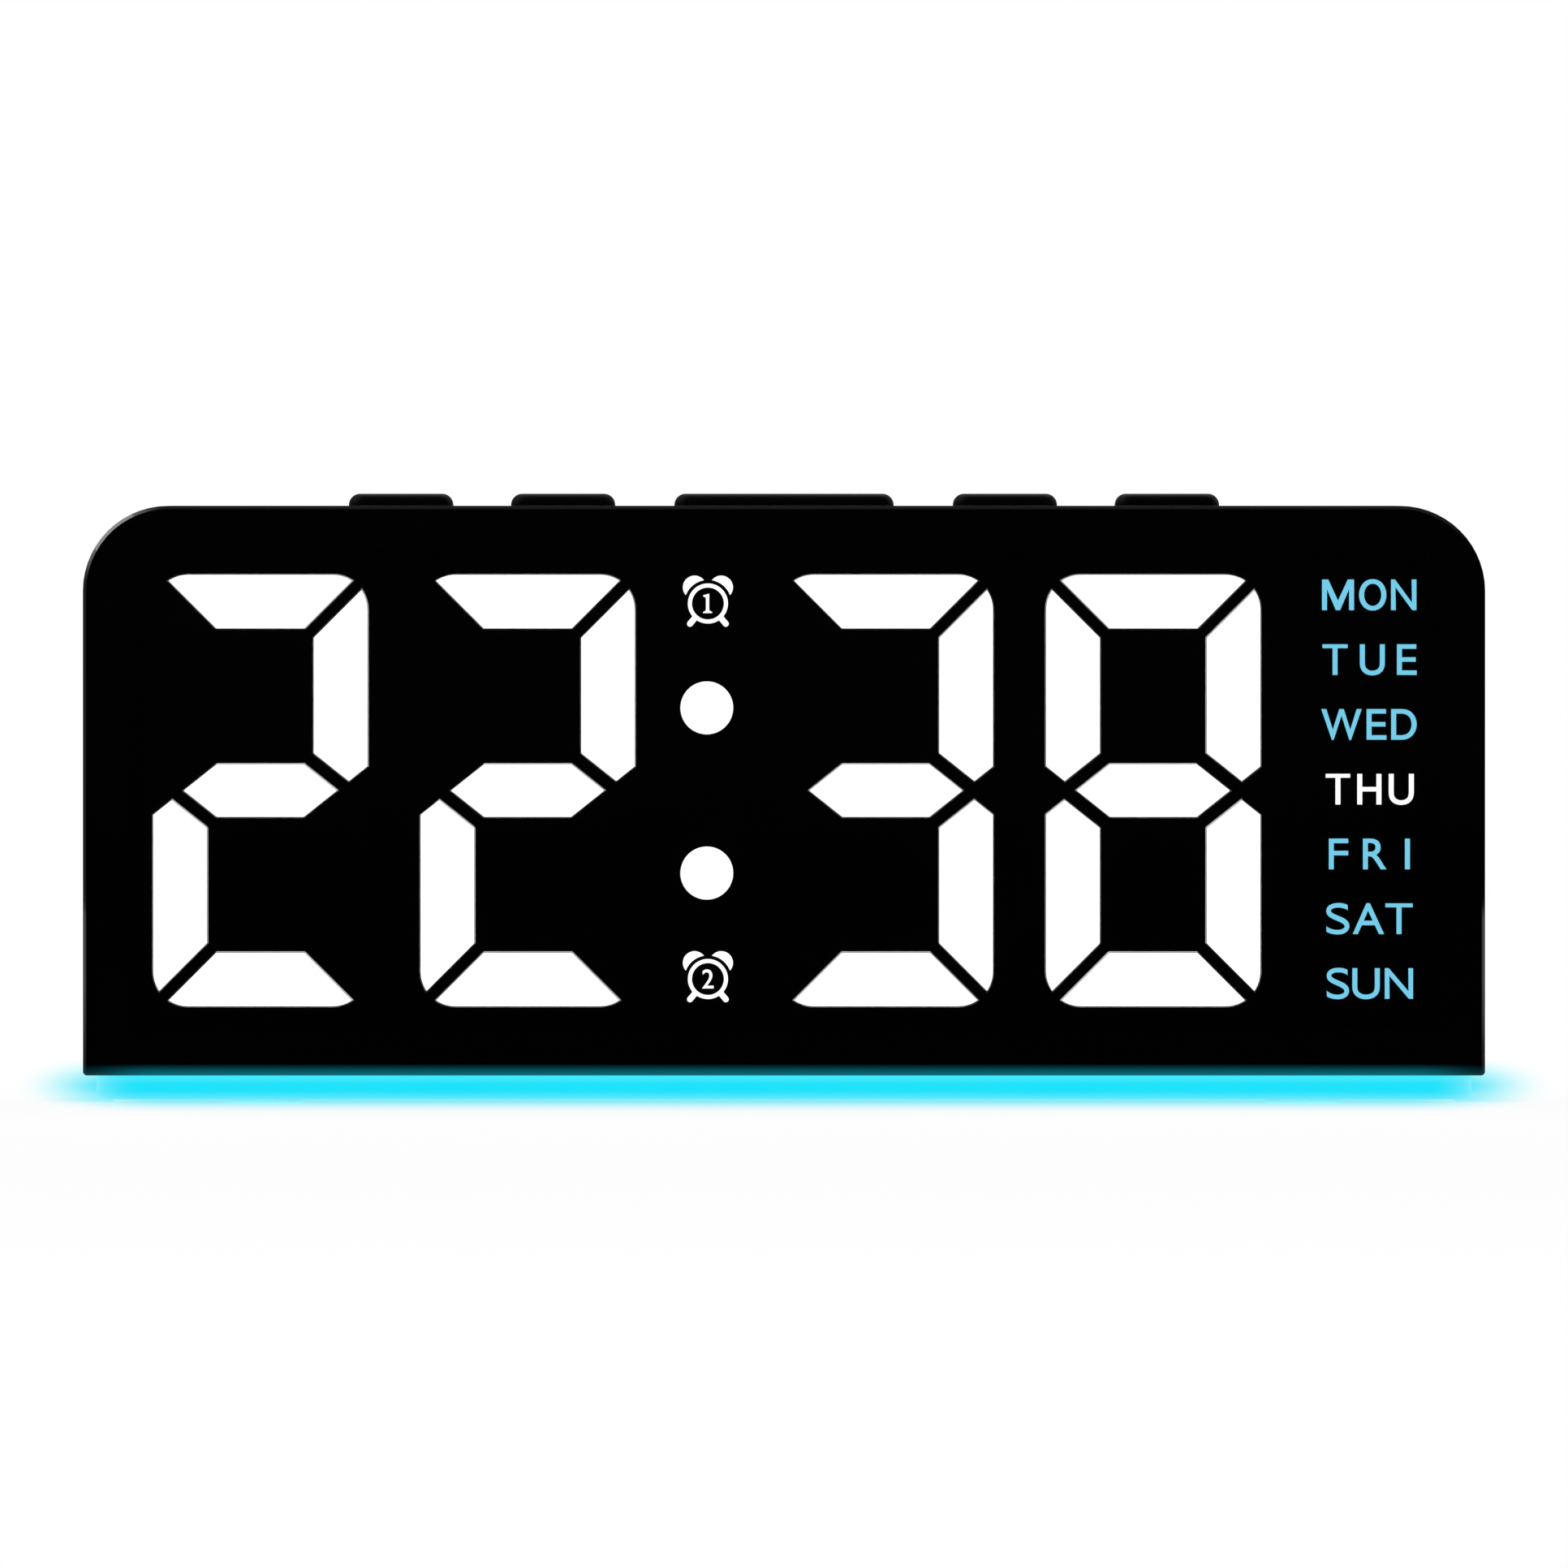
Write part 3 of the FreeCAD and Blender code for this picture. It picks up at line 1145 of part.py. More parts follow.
def make_parts():
    """Every sub-part of the clock."""
    parts = [front_lens(), lens_tape(), front_frame(), segment_reflector(), *diffusers(), display_board(),
             segment_leds(), clock_chip(), led_drivers(), clock_crystal(), *small_screws(), rear_housing(),
             case_screws()]
    for name, x, width in BUTTONS:
        parts.append(button_cap(name, x, width))
        parts.append(plunger(name, x))
    parts += [button_board(), tactile_switches(), board_header(), battery_box(), battery_cells(),
              contact_springs(), contact_plates(), battery_door(), power_board(), usb_socket(),
              ribbon_sockets(), ribbon_cable(), buzzer(), light_board(), light_leds(), light_guide(),
              base_plate(), base_screws(), rubber_feet()]
    return parts


def check(parts):
    """Raises an error where a feature failed, a shape is unsound or a pocket took nothing away."""
    for item in doc.Objects:
        if "Invalid" in item.State or "Error" in item.State:
            raise RuntimeError(f"{item.Name} of {item.Label} failed: {item.State}")
    for cut in cuts:
        if cut.BaseFeature.Shape.Volume - cut.Shape.Volume < LEAST_CUT:
            raise RuntimeError(f"{cut.Name} cuts nothing")
    for part in parts:
        if part.Shape.isNull() or not part.Shape.isValid():
            raise RuntimeError(f"{part.Label} has no sound shape")


parts = make_parts()
doc.recompute()
check(parts)
os.makedirs("parts", exist_ok=True)
for part in parts:
    part.Shape.exportStep(f"parts/{part.Label}.step")
print(len(parts), "sub-parts written")
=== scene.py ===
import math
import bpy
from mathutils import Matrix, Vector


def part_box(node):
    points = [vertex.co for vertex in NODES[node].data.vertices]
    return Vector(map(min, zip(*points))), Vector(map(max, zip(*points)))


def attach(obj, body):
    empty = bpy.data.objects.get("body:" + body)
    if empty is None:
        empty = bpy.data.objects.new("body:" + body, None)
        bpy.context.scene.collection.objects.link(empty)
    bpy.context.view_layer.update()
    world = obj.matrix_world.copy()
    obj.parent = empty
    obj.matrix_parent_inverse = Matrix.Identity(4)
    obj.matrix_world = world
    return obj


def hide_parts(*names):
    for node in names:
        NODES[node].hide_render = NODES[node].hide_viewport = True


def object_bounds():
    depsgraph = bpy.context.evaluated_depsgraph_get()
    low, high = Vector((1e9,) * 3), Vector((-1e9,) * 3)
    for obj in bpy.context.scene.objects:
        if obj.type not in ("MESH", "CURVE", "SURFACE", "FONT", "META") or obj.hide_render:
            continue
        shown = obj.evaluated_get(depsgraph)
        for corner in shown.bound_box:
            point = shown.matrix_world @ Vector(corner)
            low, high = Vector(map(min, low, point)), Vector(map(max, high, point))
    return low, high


bl_info = {
    "name": "Day Clock",
    "version": (1, 0, 0),
    "blender": (4, 5, 0),
    "location": "3D View > Sidebar > Day Clock",
    "description": "Finishes the day clock: lens, lit digits, names, signs, plastics and a studio",
    "category": "Object",
}

import bmesh
import bpy
from mathutils import Matrix, Vector

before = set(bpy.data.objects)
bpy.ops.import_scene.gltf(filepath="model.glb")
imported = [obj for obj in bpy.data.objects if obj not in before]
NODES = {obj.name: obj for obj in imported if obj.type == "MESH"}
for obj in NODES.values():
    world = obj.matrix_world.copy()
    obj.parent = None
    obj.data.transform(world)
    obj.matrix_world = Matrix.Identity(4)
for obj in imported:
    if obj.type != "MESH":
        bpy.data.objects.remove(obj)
CAD_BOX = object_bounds()

MM = 0.001
CASE = "case"
# The distance at which vertices are merged, and the least gap between surfaces.
GAP = 1e-6

# Segments of a digit: a top, b and c right, d bottom, e and f left, g middle.
SHAPES = {
    "0": "abcdef", "1": "bc", "2": "abged", "3": "abgcd", "4": "fgbc",
    "5": "afgcd", "6": "afgcde", "7": "abc", "8": "abcdefg", "9": "abcdfg",
}
# Left and right end of each capital in the weekday names, in millimetres from the middle of the window.
WEEKDAYS = {
    "mon": ((-5.77, -1.83), (-1.21, 2.16), (2.74, 5.86)),
    "tue": ((-5.72, -2.61), (-1.10, 1.97), (3.47, 5.90)),
    "wed": ((-5.83, -0.91), (-0.27, 2.17), (2.76, 5.90)),
    "thu": ((-5.31, -2.30), (-1.42, 1.55), (2.46, 5.55)),
    "fri": ((-4.92, -2.54), (-0.72, 2.15), (4.46, 5.12)),
    "sat": ((-5.24, -2.39), (-1.96, 1.87), (2.05, 5.41)),
    "sun": ((-5.19, -2.42), (-2.02, 1.36), (1.98, 5.46)),
}
BUTTONS = {
    "set": "button_set", "alarm": "button_alarm", "snooze": "snooze_bar", "light": "button_light",
    "volume": "button_volume",
}
# The way each screw's head faces: the axis, and the end of it.
SCREW_HEADS = {
    "case_screws": (1, 1), "board_screws": (1, 1), "base_screws": (2, -1),
    "button_board_screws": (2, -1), "power_board_screws": (2, 1),
}

WHITE = (1.0, 1.0, 1.0)
# How much stronger than plain white the white lights shine, and how pale unlit diffusers and films are.
WHITE_LIGHT = 1.1
DIFFUSER_MILK, FILM_MILK = 0.6, 0.2
# The part of the noise's range that most of a surface shows.
NOISE_LOW, NOISE_HIGH = 0.35, 0.65
ACRYLIC = {
    "colour": (0.0005, 0.0005, 0.0006), "roughness": (0.02, 0.05), "spread": 0.05, "grain": 900.0,
    "relief": 0.02, "IOR": 1.49,
}
FILM = {"colour": (0.006, 0.006, 0.007), "roughness": (0.5, 0.6), "spread": 0.2}


def node_size(name):
    """How far a CAD node reaches along each axis."""
    low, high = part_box(name)
    return high - low


def node_middle(name):
    """The middle of a CAD node's box."""
    low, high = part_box(name)
    return (low + high) / 2


def colour_setting(name, description, default):
    """A colour that the user can change."""
    return bpy.props.FloatVectorProperty(
        name=name, description=description, subtype="COLOR", size=3, min=0, max=1, default=default)


def length_setting(name, description, default, least=0.0):
    """A length that the user can change."""
    return bpy.props.FloatProperty(
        name=name, description=description, unit="LENGTH", min=least, default=default)


class DayClockColours(bpy.types.PropertyGroup):
    """Colours and lights of the clock."""

    case: colour_setting("Case", "Colour of the moulded case", (0.006, 0.006, 0.0062))
    buttons: colour_setting("Buttons", "Colour of the five button caps", (0.003, 0.003, 0.0032))
    lens_shade: bpy.props.FloatProperty(
        name="Lens shade", description="Share of the light that each face of the lens holds back",
        subtype="FACTOR", min=0, max=0.95, default=0.7)
    digits: colour_setting("Digits", "Colour of the lit segments as seen through the lens", WHITE)
    names: colour_setting(
        "Weekdays", "Colour of the weekday names as seen through the lens", (0.178, 0.60, 0.81))
    today: colour_setting("Today", "Colour of today's name as seen through the lens", WHITE)
    night_light: colour_setting(
        "Night light", "Colour of the light under the case", (0.010, 0.745, 0.955))
    night_light_lip: colour_setting(
        "Night light lip", "Colour where the light meets the case", (0.055, 0.80, 0.955))
    night_light_end: colour_setting(
        "Night light rim", "Colour where the light dies away at its foot and ends", (0.30, 0.85, 0.94))
    # The colour of the painted pool of night light on the table.
    table_light: colour_setting(
        "Table light", "Colour of the night light where it falls on the table", (0.010, 0.863, 0.974))
    sleeve: colour_setting("Cell sleeve", "Colour of the battery cells' sleeves", (0.035, 0.075, 0.13))


class DayClockSizes(bpy.types.PropertyGroup):
    """What the clock shows, and the sizes of its signs."""

    hours_and_minutes: bpy.props.StringProperty(
        name="Time", description="Four digits, hours and minutes", default="2238", maxlen=4)
    today: bpy.props.EnumProperty(
        name="Today", description="The weekday that is lit in its own colour", default="thu",
        items=[(day, day.title(), f"The {day.title()} row") for day in WEEKDAYS])
    segment_rim: length_setting(
        "Segment rim", "Width of the dark rim round each lit segment", 0.09 * MM)
    letter_height: length_setting("Letter height", "Height of the weekday capitals", 3.78 * MM)
    letter_stroke: length_setting("Letter stroke", "Line width of the weekday capitals", 0.61 * MM)
    sign_radius: length_setting("Sign radius", "Size of the alarm signs, as a radius", 2.51 * MM)
    sign_line: length_setting("Sign line", "Line width of the alarm signs", 0.5 * MM)
    film_thickness: length_setting(
        "Light layer", "Thickness of the lit letters and signs on their windows", 0.06 * MM)
    ink_thickness: length_setting(
        "Ink", "Thickness of the signs printed on the caps and the cells", 0.03 * MM)
    cap_sign: length_setting("Cap sign", "Height of the signs on the button caps", 3.2 * MM)
    cap_dish: length_setting("Cap dish", "Depth of the dish in each button cap", 0.2 * MM)
    lens_border: length_setting("Lens border", "Width of the black border behind the lens", 5.5 * MM)
    # How far the glow painted in the night light's colour reaches up the lens's lower edge.
    edge_glow: length_setting(
        "Edge glow", "How far the night light climbs into the lens's lower edge", 1.5 * MM)


class DayClockStage(bpy.types.PropertyGroup):
    """Camera and studio."""

    camera_distance: length_setting(
        "Camera distance", "From the camera to the clock's face", 3.2, least=0.3)
    camera_height: length_setting("Camera height", "Height of the camera above the table", 0.075)
    aim_height: length_setting(
        "Aim height", "Height that stands in the middle of the picture", 39.53 * MM)
    frame_width: length_setting(
        "Picture width", "Width of the picture at the clock's face", 193.2 * MM, least=0.05)
    halo: length_setting(
        "Halo", "How far the night light spreads on the table past the light guide's ends", 7.0 * MM)
    halo_stretch: bpy.props.FloatProperty(
        name="Halo stretch", description="How much further the light spreads to the front and the back",
        min=1, default=7.0)
    shine_across: length_setting(
        "Shine across", "How far the shine in the air reaches sideways", 11.8 * MM)
    shine_up: length_setting("Shine up", "How far the shine in the air reaches upwards", 3.9 * MM)


# ---- finishes ----

def link(tree, source, target):
    """Joins an output socket, or sets a number, a colour or a vector, on an input socket."""
    if hasattr(source, "links"):
        tree.links.new(source, target)
    elif target.type == "RGBA":
        target.default_value = (*source, 1.0)
    else:
        target.default_value = source


def add(tree, kind, sources=None, **settings):
    """A shader node with its settings made and its inputs joined or set."""
    node = tree.nodes.new(f"ShaderNode{kind}")
    for setting, choice in settings.items():
        setattr(node, setting, choice)
    for socket, source in (sources or {}).items():
        link(tree, source, node.inputs[socket])
    return node


def emptied(owner, kind):
    """The node tree of a material or a world with only its output node in it."""
    owner.use_nodes = True
    owner.node_tree.nodes.clear()
    return owner.node_tree, add(owner.node_tree, kind)


def object_place(tree):
    """Object coordinates."""
    return add(tree, "TexCoord").outputs["Object"]


def material_base(name):
    """A material with one principled shader, and object coordinates to pattern it."""
    material = bpy.data.materials.new(name)
    tree, output = emptied(material, "OutputMaterial")
    shader = add(tree, "BsdfPrincipled")
    link(tree, shader.outputs["BSDF"], output.inputs["Surface"])
    return material, tree, shader, object_place(tree)


def noise(tree, place, scale, detail=2.0):
    """Noise with the given number of waves per metre."""
    return add(tree, "TexNoise", {"Vector": place, "Scale": scale, "Detail": detail}).outputs["Fac"]


def axes(tree, vector):
    """The X, Y and Z of a vector."""
    return add(tree, "SeparateXYZ", {"Vector": vector}).outputs


def reckon(tree, operation, first, second=0.0):
    """One step of arithmetic on sockets or numbers."""
    return add(tree, "Math", {0: first, 1: second}, operation=operation).outputs[0]


def largest(tree, first, *others):
    """The largest of some sockets or numbers."""
    for other in others:
        first = reckon(tree, "MAXIMUM", first, other)
    return first


def squares(tree, first, second):
    """The squares of two sockets added up."""
    return reckon(tree, "ADD", *(reckon(tree, "MULTIPLY", side, side) for side in (first, second)))


def vectors(tree, operation, first, second=(0.0, 0.0, 0.0), result=0):
    """One step of arithmetic on vectors."""
    return add(tree, "VectorMath", {0: first, 1: second}, operation=operation).outputs[result]


def between(tree, factor, low, high, start=NOISE_LOW, end=NOISE_HIGH, soft=False):
    """The factor's range from start to end spread over low to high."""
    sources = {"Value": factor, "From Min": start, "From Max": end, "To Min": low, "To Max": high}
    node = add(tree, "MapRange", sources, interpolation_type="SMOOTHSTEP" if soft else "LINEAR")
    return node.outputs["Result"]


def mix(tree, factor, first, second):
    """A colour between two colours."""
    return add(tree, "Mix", {0: factor, 6: first, 7: second}, data_type="RGBA").outputs[2]


def blend_shaders(tree, factor, first, second):
    """A surface between two surfaces."""
    return add(tree, "MixShader", {0: factor, 1: first, 2: second}).outputs["Shader"]


def dress(tree, shader, **sources):
    """Joins or sets the inputs of a shader, named with underscores for their spaces."""
    for socket, source in sources.items():
        link(tree, source, shader.inputs[socket.replace("_", " ")])


def bump(tree, shader, height, strength, distance):
    """A height pattern on the surface."""
    sources = {"Strength": strength, "Distance": distance, "Height": height}
    dress(tree, shader, Normal=add(tree, "Bump", sources).outputs["Normal"])


def scaled(colour, factor):
    """A colour made lighter or darker."""
    return tuple(min(1.0, channel * factor) for channel in colour)


def patterned(name, colour, roughness, spread=0.1, grain=2500.0, relief=0.15, grain_height=0.02 * MM,
              **sockets):
    """A surface with soft colour variation, uneven gloss and a fine grain, and what it is made of."""
    material, tree, shader, place = material_base(name)
    blotches = noise(tree, place, 60.0, detail=3.0)
    shade = between(tree, blotches, 0.0, 1.0)
    darker, lighter = scaled(colour, 1 - spread), scaled(colour, 1 + spread)
    dress(tree, shader, Base_Color=mix(tree, shade, darker, lighter),
          Roughness=between(tree, blotches, *roughness), **sockets)
    bump(tree, shader, noise(tree, place, grain), relief, grain_height)
    return material, tree, shader, place


def finish(name, colour, roughness, **pattern):
    """A moulded, painted or plated finish."""
    return patterned(name, colour, roughness, **pattern)[0]


def glowing(name, colour, strength, milk):
    """A milky plastic with an even light behind it."""
    material, tree, shader, place = material_base(name)
    cloud = noise(tree, place, 400.0)
    bluish = (milk * 0.95, milk * 0.96, milk)
    dress(tree, shader, Base_Color=mix(tree, cloud, (milk, milk, milk), bluish), Roughness=0.5,
          Emission_Color=colour, Emission_Strength=strength)
    return material


def assign(names, material):
    """Gives CAD nodes their finish."""
    for name in names:
        if not NODES[name].material_slots:
            NODES[name].data.materials.append(material)
        for slot in NODES[name].material_slots:
            slot.material = material


# ---- meshes ----

def holder(name, shape):
    """An object for a bmesh."""
    mesh = bpy.data.meshes.new(name)
    shape.to_mesh(mesh)
    shape.free()
    made = bpy.data.objects.new(name, mesh)
    bpy.context.scene.collection.objects.link(made)
    return made


def piece(name, shape, materials, body=CASE, smooth=25, stands_for=None):
    """A finished piece from a bmesh: it rides on a body and may stand for a CAD node."""
    shape.normal_update()
    made = holder(name, shape)
    mesh = made.data
    if "custom_normal" in mesh.attributes:
        mesh.attributes.remove(mesh.attributes["custom_normal"])
    for material in materials:
        mesh.materials.append(material)
    mesh.shade_smooth()
    mesh.set_sharp_from_angle(angle=math.radians(smooth))
    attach(made, body)
    if stands_for:
        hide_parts(stands_for)


def merged_copy(name):
    """A CAD node's shape with its loose triangles joined."""
    shape = bmesh.new()
    shape.from_mesh(NODES[name].data)
    bmesh.ops.remove_doubles(shape, verts=shape.verts, dist=GAP)
    return shape


def islands(shape):
    """The sets of faces that hang together."""
    left = set(shape.faces)
    found = []
    while left:
        reached = {left.pop()}
        border = list(reached)
        while border:
            for edge in border.pop().edges:
                for neighbour in edge.link_faces:
                    if neighbour in left:
                        left.discard(neighbour)
                        reached.add(neighbour)
                        border.append(neighbour)
        found.append(reached)
    return found


def reach(vertices):
    """Lowest and highest corner of some vertices."""
    points = [vertex.co for vertex in vertices]
    return (Vector(min(p[i] for p in points) for i in range(3)),
            Vector(max(p[i] for p in points) for i in range(3)))


def island_box(faces):
    """Lowest and highest corner of a set of faces."""
    return reach({vertex for face in faces for vertex in face.verts})


def cut(shape, point, direction):
    """Splits the faces that a plane crosses."""
    bmesh.ops.bisect_plane(shape, geom=shape.verts[:] + shape.edges[:] + shape.faces[:], dist=GAP,
                           plane_co=point, plane_no=direction)


def move(shape, x=0.0, y=0.0, z=0.0):
    """Moves a shape."""
    bmesh.ops.translate(shape, vec=(x, y, z), verts=shape.verts)


def turn(shape, angle, axis):
    """Turns a shape about an axis through the origin."""
    bmesh.ops.rotate(shape, matrix=Matrix.Rotation(angle, 3, axis), verts=shape.verts)


def join(target, source):
    """Adds one bmesh to another."""
    mesh = bpy.data.meshes.new("joined")
    source.to_mesh(mesh)
    source.free()
    target.from_mesh(mesh)
    bpy.data.meshes.remove(mesh)


def drawn_out(mesh):
    """The bmesh of a passing mesh, which goes."""
    shape = bmesh.new()
    shape.from_mesh(mesh)
    bpy.data.meshes.remove(mesh)
    return shape


def carved(shape, tool_shape):
    """The shape with the tool's volume taken out of it."""
    body, tool = holder("blank", shape), holder("tool", tool_shape)
    cutting = body.modifiers.new("cutting", "BOOLEAN")
    cutting.operation = "DIFFERENCE"
    cutting.solver = "EXACT"
    cutting.object = tool
    bpy.context.view_layer.update()
    finished = body.evaluated_get(bpy.context.evaluated_depsgraph_get())
    made = drawn_out(bpy.data.meshes.new_from_object(finished))
    for passing in (body, tool):
        mesh = passing.data
        bpy.data.objects.remove(passing)
        bpy.data.meshes.remove(mesh)
    return made


def thicken(shape, depth):
    """Makes a flat shape in the XY plane this deep, upwards."""
    extruded = bmesh.ops.extrude_face_region(shape, geom=shape.faces[:])["geom"]
    top = [item for item in extruded if isinstance(item, bmesh.types.BMVert)]
    bmesh.ops.translate(shape, vec=(0, 0, depth), verts=top)
    bmesh.ops.recalc_face_normals(shape, faces=shape.faces)


def solid(shape, depth):
    """Cleans a flat shape in the XY plane and makes it this deep."""
    bmesh.ops.remove_doubles(shape, verts=shape.verts, dist=1e-7)
    bmesh.ops.dissolve_limit(shape, angle_limit=0.01, verts=shape.verts, edges=shape.edges)
    thicken(shape, depth)
    return shape


def facing_front(shape, front, depth, middle):
    """Gives a flat shape in the XY plane its depth, turns it to face the front and puts it in place."""
    solid(shape, depth)
    bmesh.ops.transform(shape, matrix=Matrix.Rotation(math.pi / 2, 4, "X"), verts=shape.verts)
    move(shape, middle[0], front + depth, middle[1])


def block(*size):
    """A box of this size round the origin."""
    shape = bmesh.new()
    bmesh.ops.create_cube(shape, size=1.0)
    bmesh.ops.scale(shape, vec=size, verts=shape.verts)
    return shape


def polygon(points, scale=1.0):
    """A flat face in the XY plane, its points given in units of this scale."""
    shape = bmesh.new()
    shape.faces.new([shape.verts.new((x * scale, y * scale, 0)) for x, y in points])
    return shape


def disc(radius, x=0.0, y=0.0, segments=48):
    """A flat disc in the XY plane."""
    shape = bmesh.new()
    bmesh.ops.create_circle(shape, cap_ends=True, segments=segments, radius=radius)
    move(shape, x, y)
    return shape


def ring(radius, line, segments=64):
    """A flat ring in the XY plane, with its outer row of vertices."""
    shape = bmesh.new()
    outer = bmesh.ops.create_circle(shape, segments=segments, radius=radius)["verts"]
    bmesh.ops.create_circle(shape, segments=segments, radius=radius - line)
    bmesh.ops.bridge_loops(shape, edges=shape.edges[:])
    return shape, outer


def arc(radius, line, spread, x, segments=12):
    """A flat piece of a ring that opens to the left, spread this far either side of the X axis."""
    turns = [spread * (2 * step / segments - 1) for step in range(segments + 1)]
    outer, inner = ([(x + far * math.cos(angle), far * math.sin(angle)) for angle in turns]
                    for far in (radius, radius - line))
    return polygon([*outer, *reversed(inner)])


def letter(character):
    """A flat letter in the XY plane at the height of the built-in type."""
    curve = bpy.data.curves.new("letter", "FONT")
    curve.body = character
    curve.resolution_u = 8
    passing = bpy.data.objects.new("letter", curve)
    bpy.context.scene.collection.objects.link(passing)
    bpy.context.view_layer.update()
    shape = drawn_out(bpy.data.meshes.new_from_object(passing))
    bpy.data.objects.remove(passing)
    bpy.data.curves.remove(curve)
    bmesh.ops.remove_doubles(shape, verts=shape.verts, dist=1e-5)
    return shape


def swell(shape, across, upright):
    """Moves a flat shape's outline outwards: upright edges by one amount, level edges by another."""
    outwards = {}
    for edge in shape.edges:
        if edge.is_boundary:
            loop = edge.link_loops[0]
            run = (loop.link_loop_next.vert.co - loop.vert.co).normalized()
            side = Vector((run.y, -run.x, 0)) * (1 if loop.face.normal.z > 0 else -1)
            for vertex in edge.verts:
                outwards.setdefault(vertex, []).append(side)
    for vertex, sides in outwards.items():
        if len(sides) == 2:
            step = (sides[0] + sides[1]) / max(1 + sides[0].dot(sides[1]), 0.5)
            vertex.co += Vector((step.x * across, step.y * upright, 0))


def pointed_m(height, width, stroke):
    """A flat M whose middle reaches down to the line."""
    middle, shoulder, tip = width / 2, 1.25 * stroke, 0.42 * stroke
    armpit, dip = 0.68 * height, 0.31 * height
    return polygon((
        (0, 0), (stroke, 0), (stroke, armpit), (middle - tip, 0), (middle + tip, 0),
        (width - stroke, armpit), (width - stroke, 0), (width, 0), (width, height),
        (width - shoulder, height), (middle, dip), (shoulder, height), (0, height)))


def capital(character, height, width, stroke):
    """A flat capital of this height, width and stroke, with its low left corner at the origin."""
    if character == "M":
        return pointed_m(height, width, stroke)
    low, high = reach(letter("I").verts)
    rise, bar = high.y - low.y, high.x - low.x
    natural = bar / rise
    upright = (stroke - natural * height) / (2 * (1 - natural))
    tall = (height - 2 * upright) / rise
    shape = letter(character)
    shape.normal_update()
    low, high = reach(shape.verts)
    wider_than_bar = high.x - low.x > 1.5 * bar
    wide = (width - stroke) / max(high.x - low.x - bar, GAP) if wider_than_bar else tall
    move(shape, -low.x)
    bmesh.ops.scale(shape, vec=(wide, tall, 1), verts=shape.verts)
    across = (stroke - bar * wide) / 2
    swell(shape, across, upright)
    move(shape, across, upright)
    return shape


def alarm_clock(radius, line):
    """A flat alarm clock: a ring with two bells and two feet, all in shares of the radius."""
    shape = ring(0.985 * radius, line)[0]
    rim, bell_radius, foot_radius = 1.16 * radius, 0.575 * radius, 0.145 * radius
    bell_at, foot_at, foot_run = ((x * radius, y * radius) for x, y in (
        (0.655, 0.795), (0.65, -0.725), (0.23, -0.27)))
    for side in (-1, 1):
        place = Vector((side * bell_at[0], bell_at[1], 0))
        outward = place.normalized()
        bell = disc(bell_radius, *place.xy)
        for vertex in bell.verts:
            if vertex.co.length < rim:
                across = vertex.co - outward * vertex.co.dot(outward)
                vertex.co = across + outward * math.sqrt(max(rim * rim - across.length_squared, 0.0))
        join(shape, bell)
        foot = disc(foot_radius, segments=24)
        away = Vector((side * foot_run[0], foot_run[1], 0))
        for vertex in foot.verts:
            if vertex.co.dot(away) > 0:
                vertex.co += away
        move(foot, side * foot_at[0], foot_at[1])
        join(shape, foot)
    return shape


# ---- operators ----

def lens_gain(context):
    """How much stronger a light behind the lens is than it looks from the front."""
    clear = 1 - context.scene.day_clock_colours.lens_shade
    return 1 / (clear * clear)


class DAYCLOCK_OT_lens(bpy.types.Operator):
    """Smokes the lens, backs its border with black and paints a glow in the night light's colour into its
    lower edge
    """

    bl_idname = "dayclock.lens"
    bl_label = "Lens"

    # Strength of the glow painted in the night light's colour into the lower edge, what is left of it at
    # the ends, and the share of the half width from which it fades.
    glow, glow_at_ends, glow_fades_from = 0.17, 0.22, 0.9

    def execute(self, context):
        colours, sizes = context.scene.day_clock_colours, context.scene.day_clock_sizes
        low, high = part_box("front_lens")
        border = Vector((sizes.lens_border, 0, sizes.lens_border))
        inner_low, inner_high = low + border, high - border
        shape = merged_copy("front_lens")
        for direction in ((1, 0, 0), (0, 0, 1)):
            for corner in (inner_low, inner_high):
                cut(shape, corner, direction)
        shape.normal_update()
        for face in shape.faces:
            middle = face.calc_center_median()
            inside = all(inner_low[axis] < middle[axis] < inner_high[axis] for axis in (0, 2))
            face.material_index = 0 if inside and abs(face.normal.y) > 0.9 else 1
        smoked = finish("smoked_lens", Alpha=colours.lens_shade, **ACRYLIC)
        piece("lens", shape, [smoked, self.border_finish(colours, sizes, low)],
              stands_for="front_lens")
        return {"FINISHED"}

    def border_finish(self, colours, sizes, low):
        """Glossy black acrylic whose lower edge carries a painted glow: emission in the night light's
        colour.
        """
        material, tree, shader, place = patterned("lens_border", **ACRYLIC)
        x, _, z = axes(tree, place)
        climb = between(tree, z, 1.0, 0.0, low.z, low.z + sizes.edge_glow, soft=True)
        ends = between(tree, reckon(tree, "ABSOLUTE", x), 1.0, self.glow_at_ends,
                       -low.x * self.glow_fades_from, -low.x, soft=True)
        full = scaled(colours.night_light, self.glow)
        # Painted light: the lower edge's emission fades up the edge and towards the lens's ends.
        dress(tree, shader, Emission_Strength=1.0,
              Emission_Color=mix(tree, reckon(tree, "MULTIPLY", climb, ends), (0, 0, 0), full))
        return material


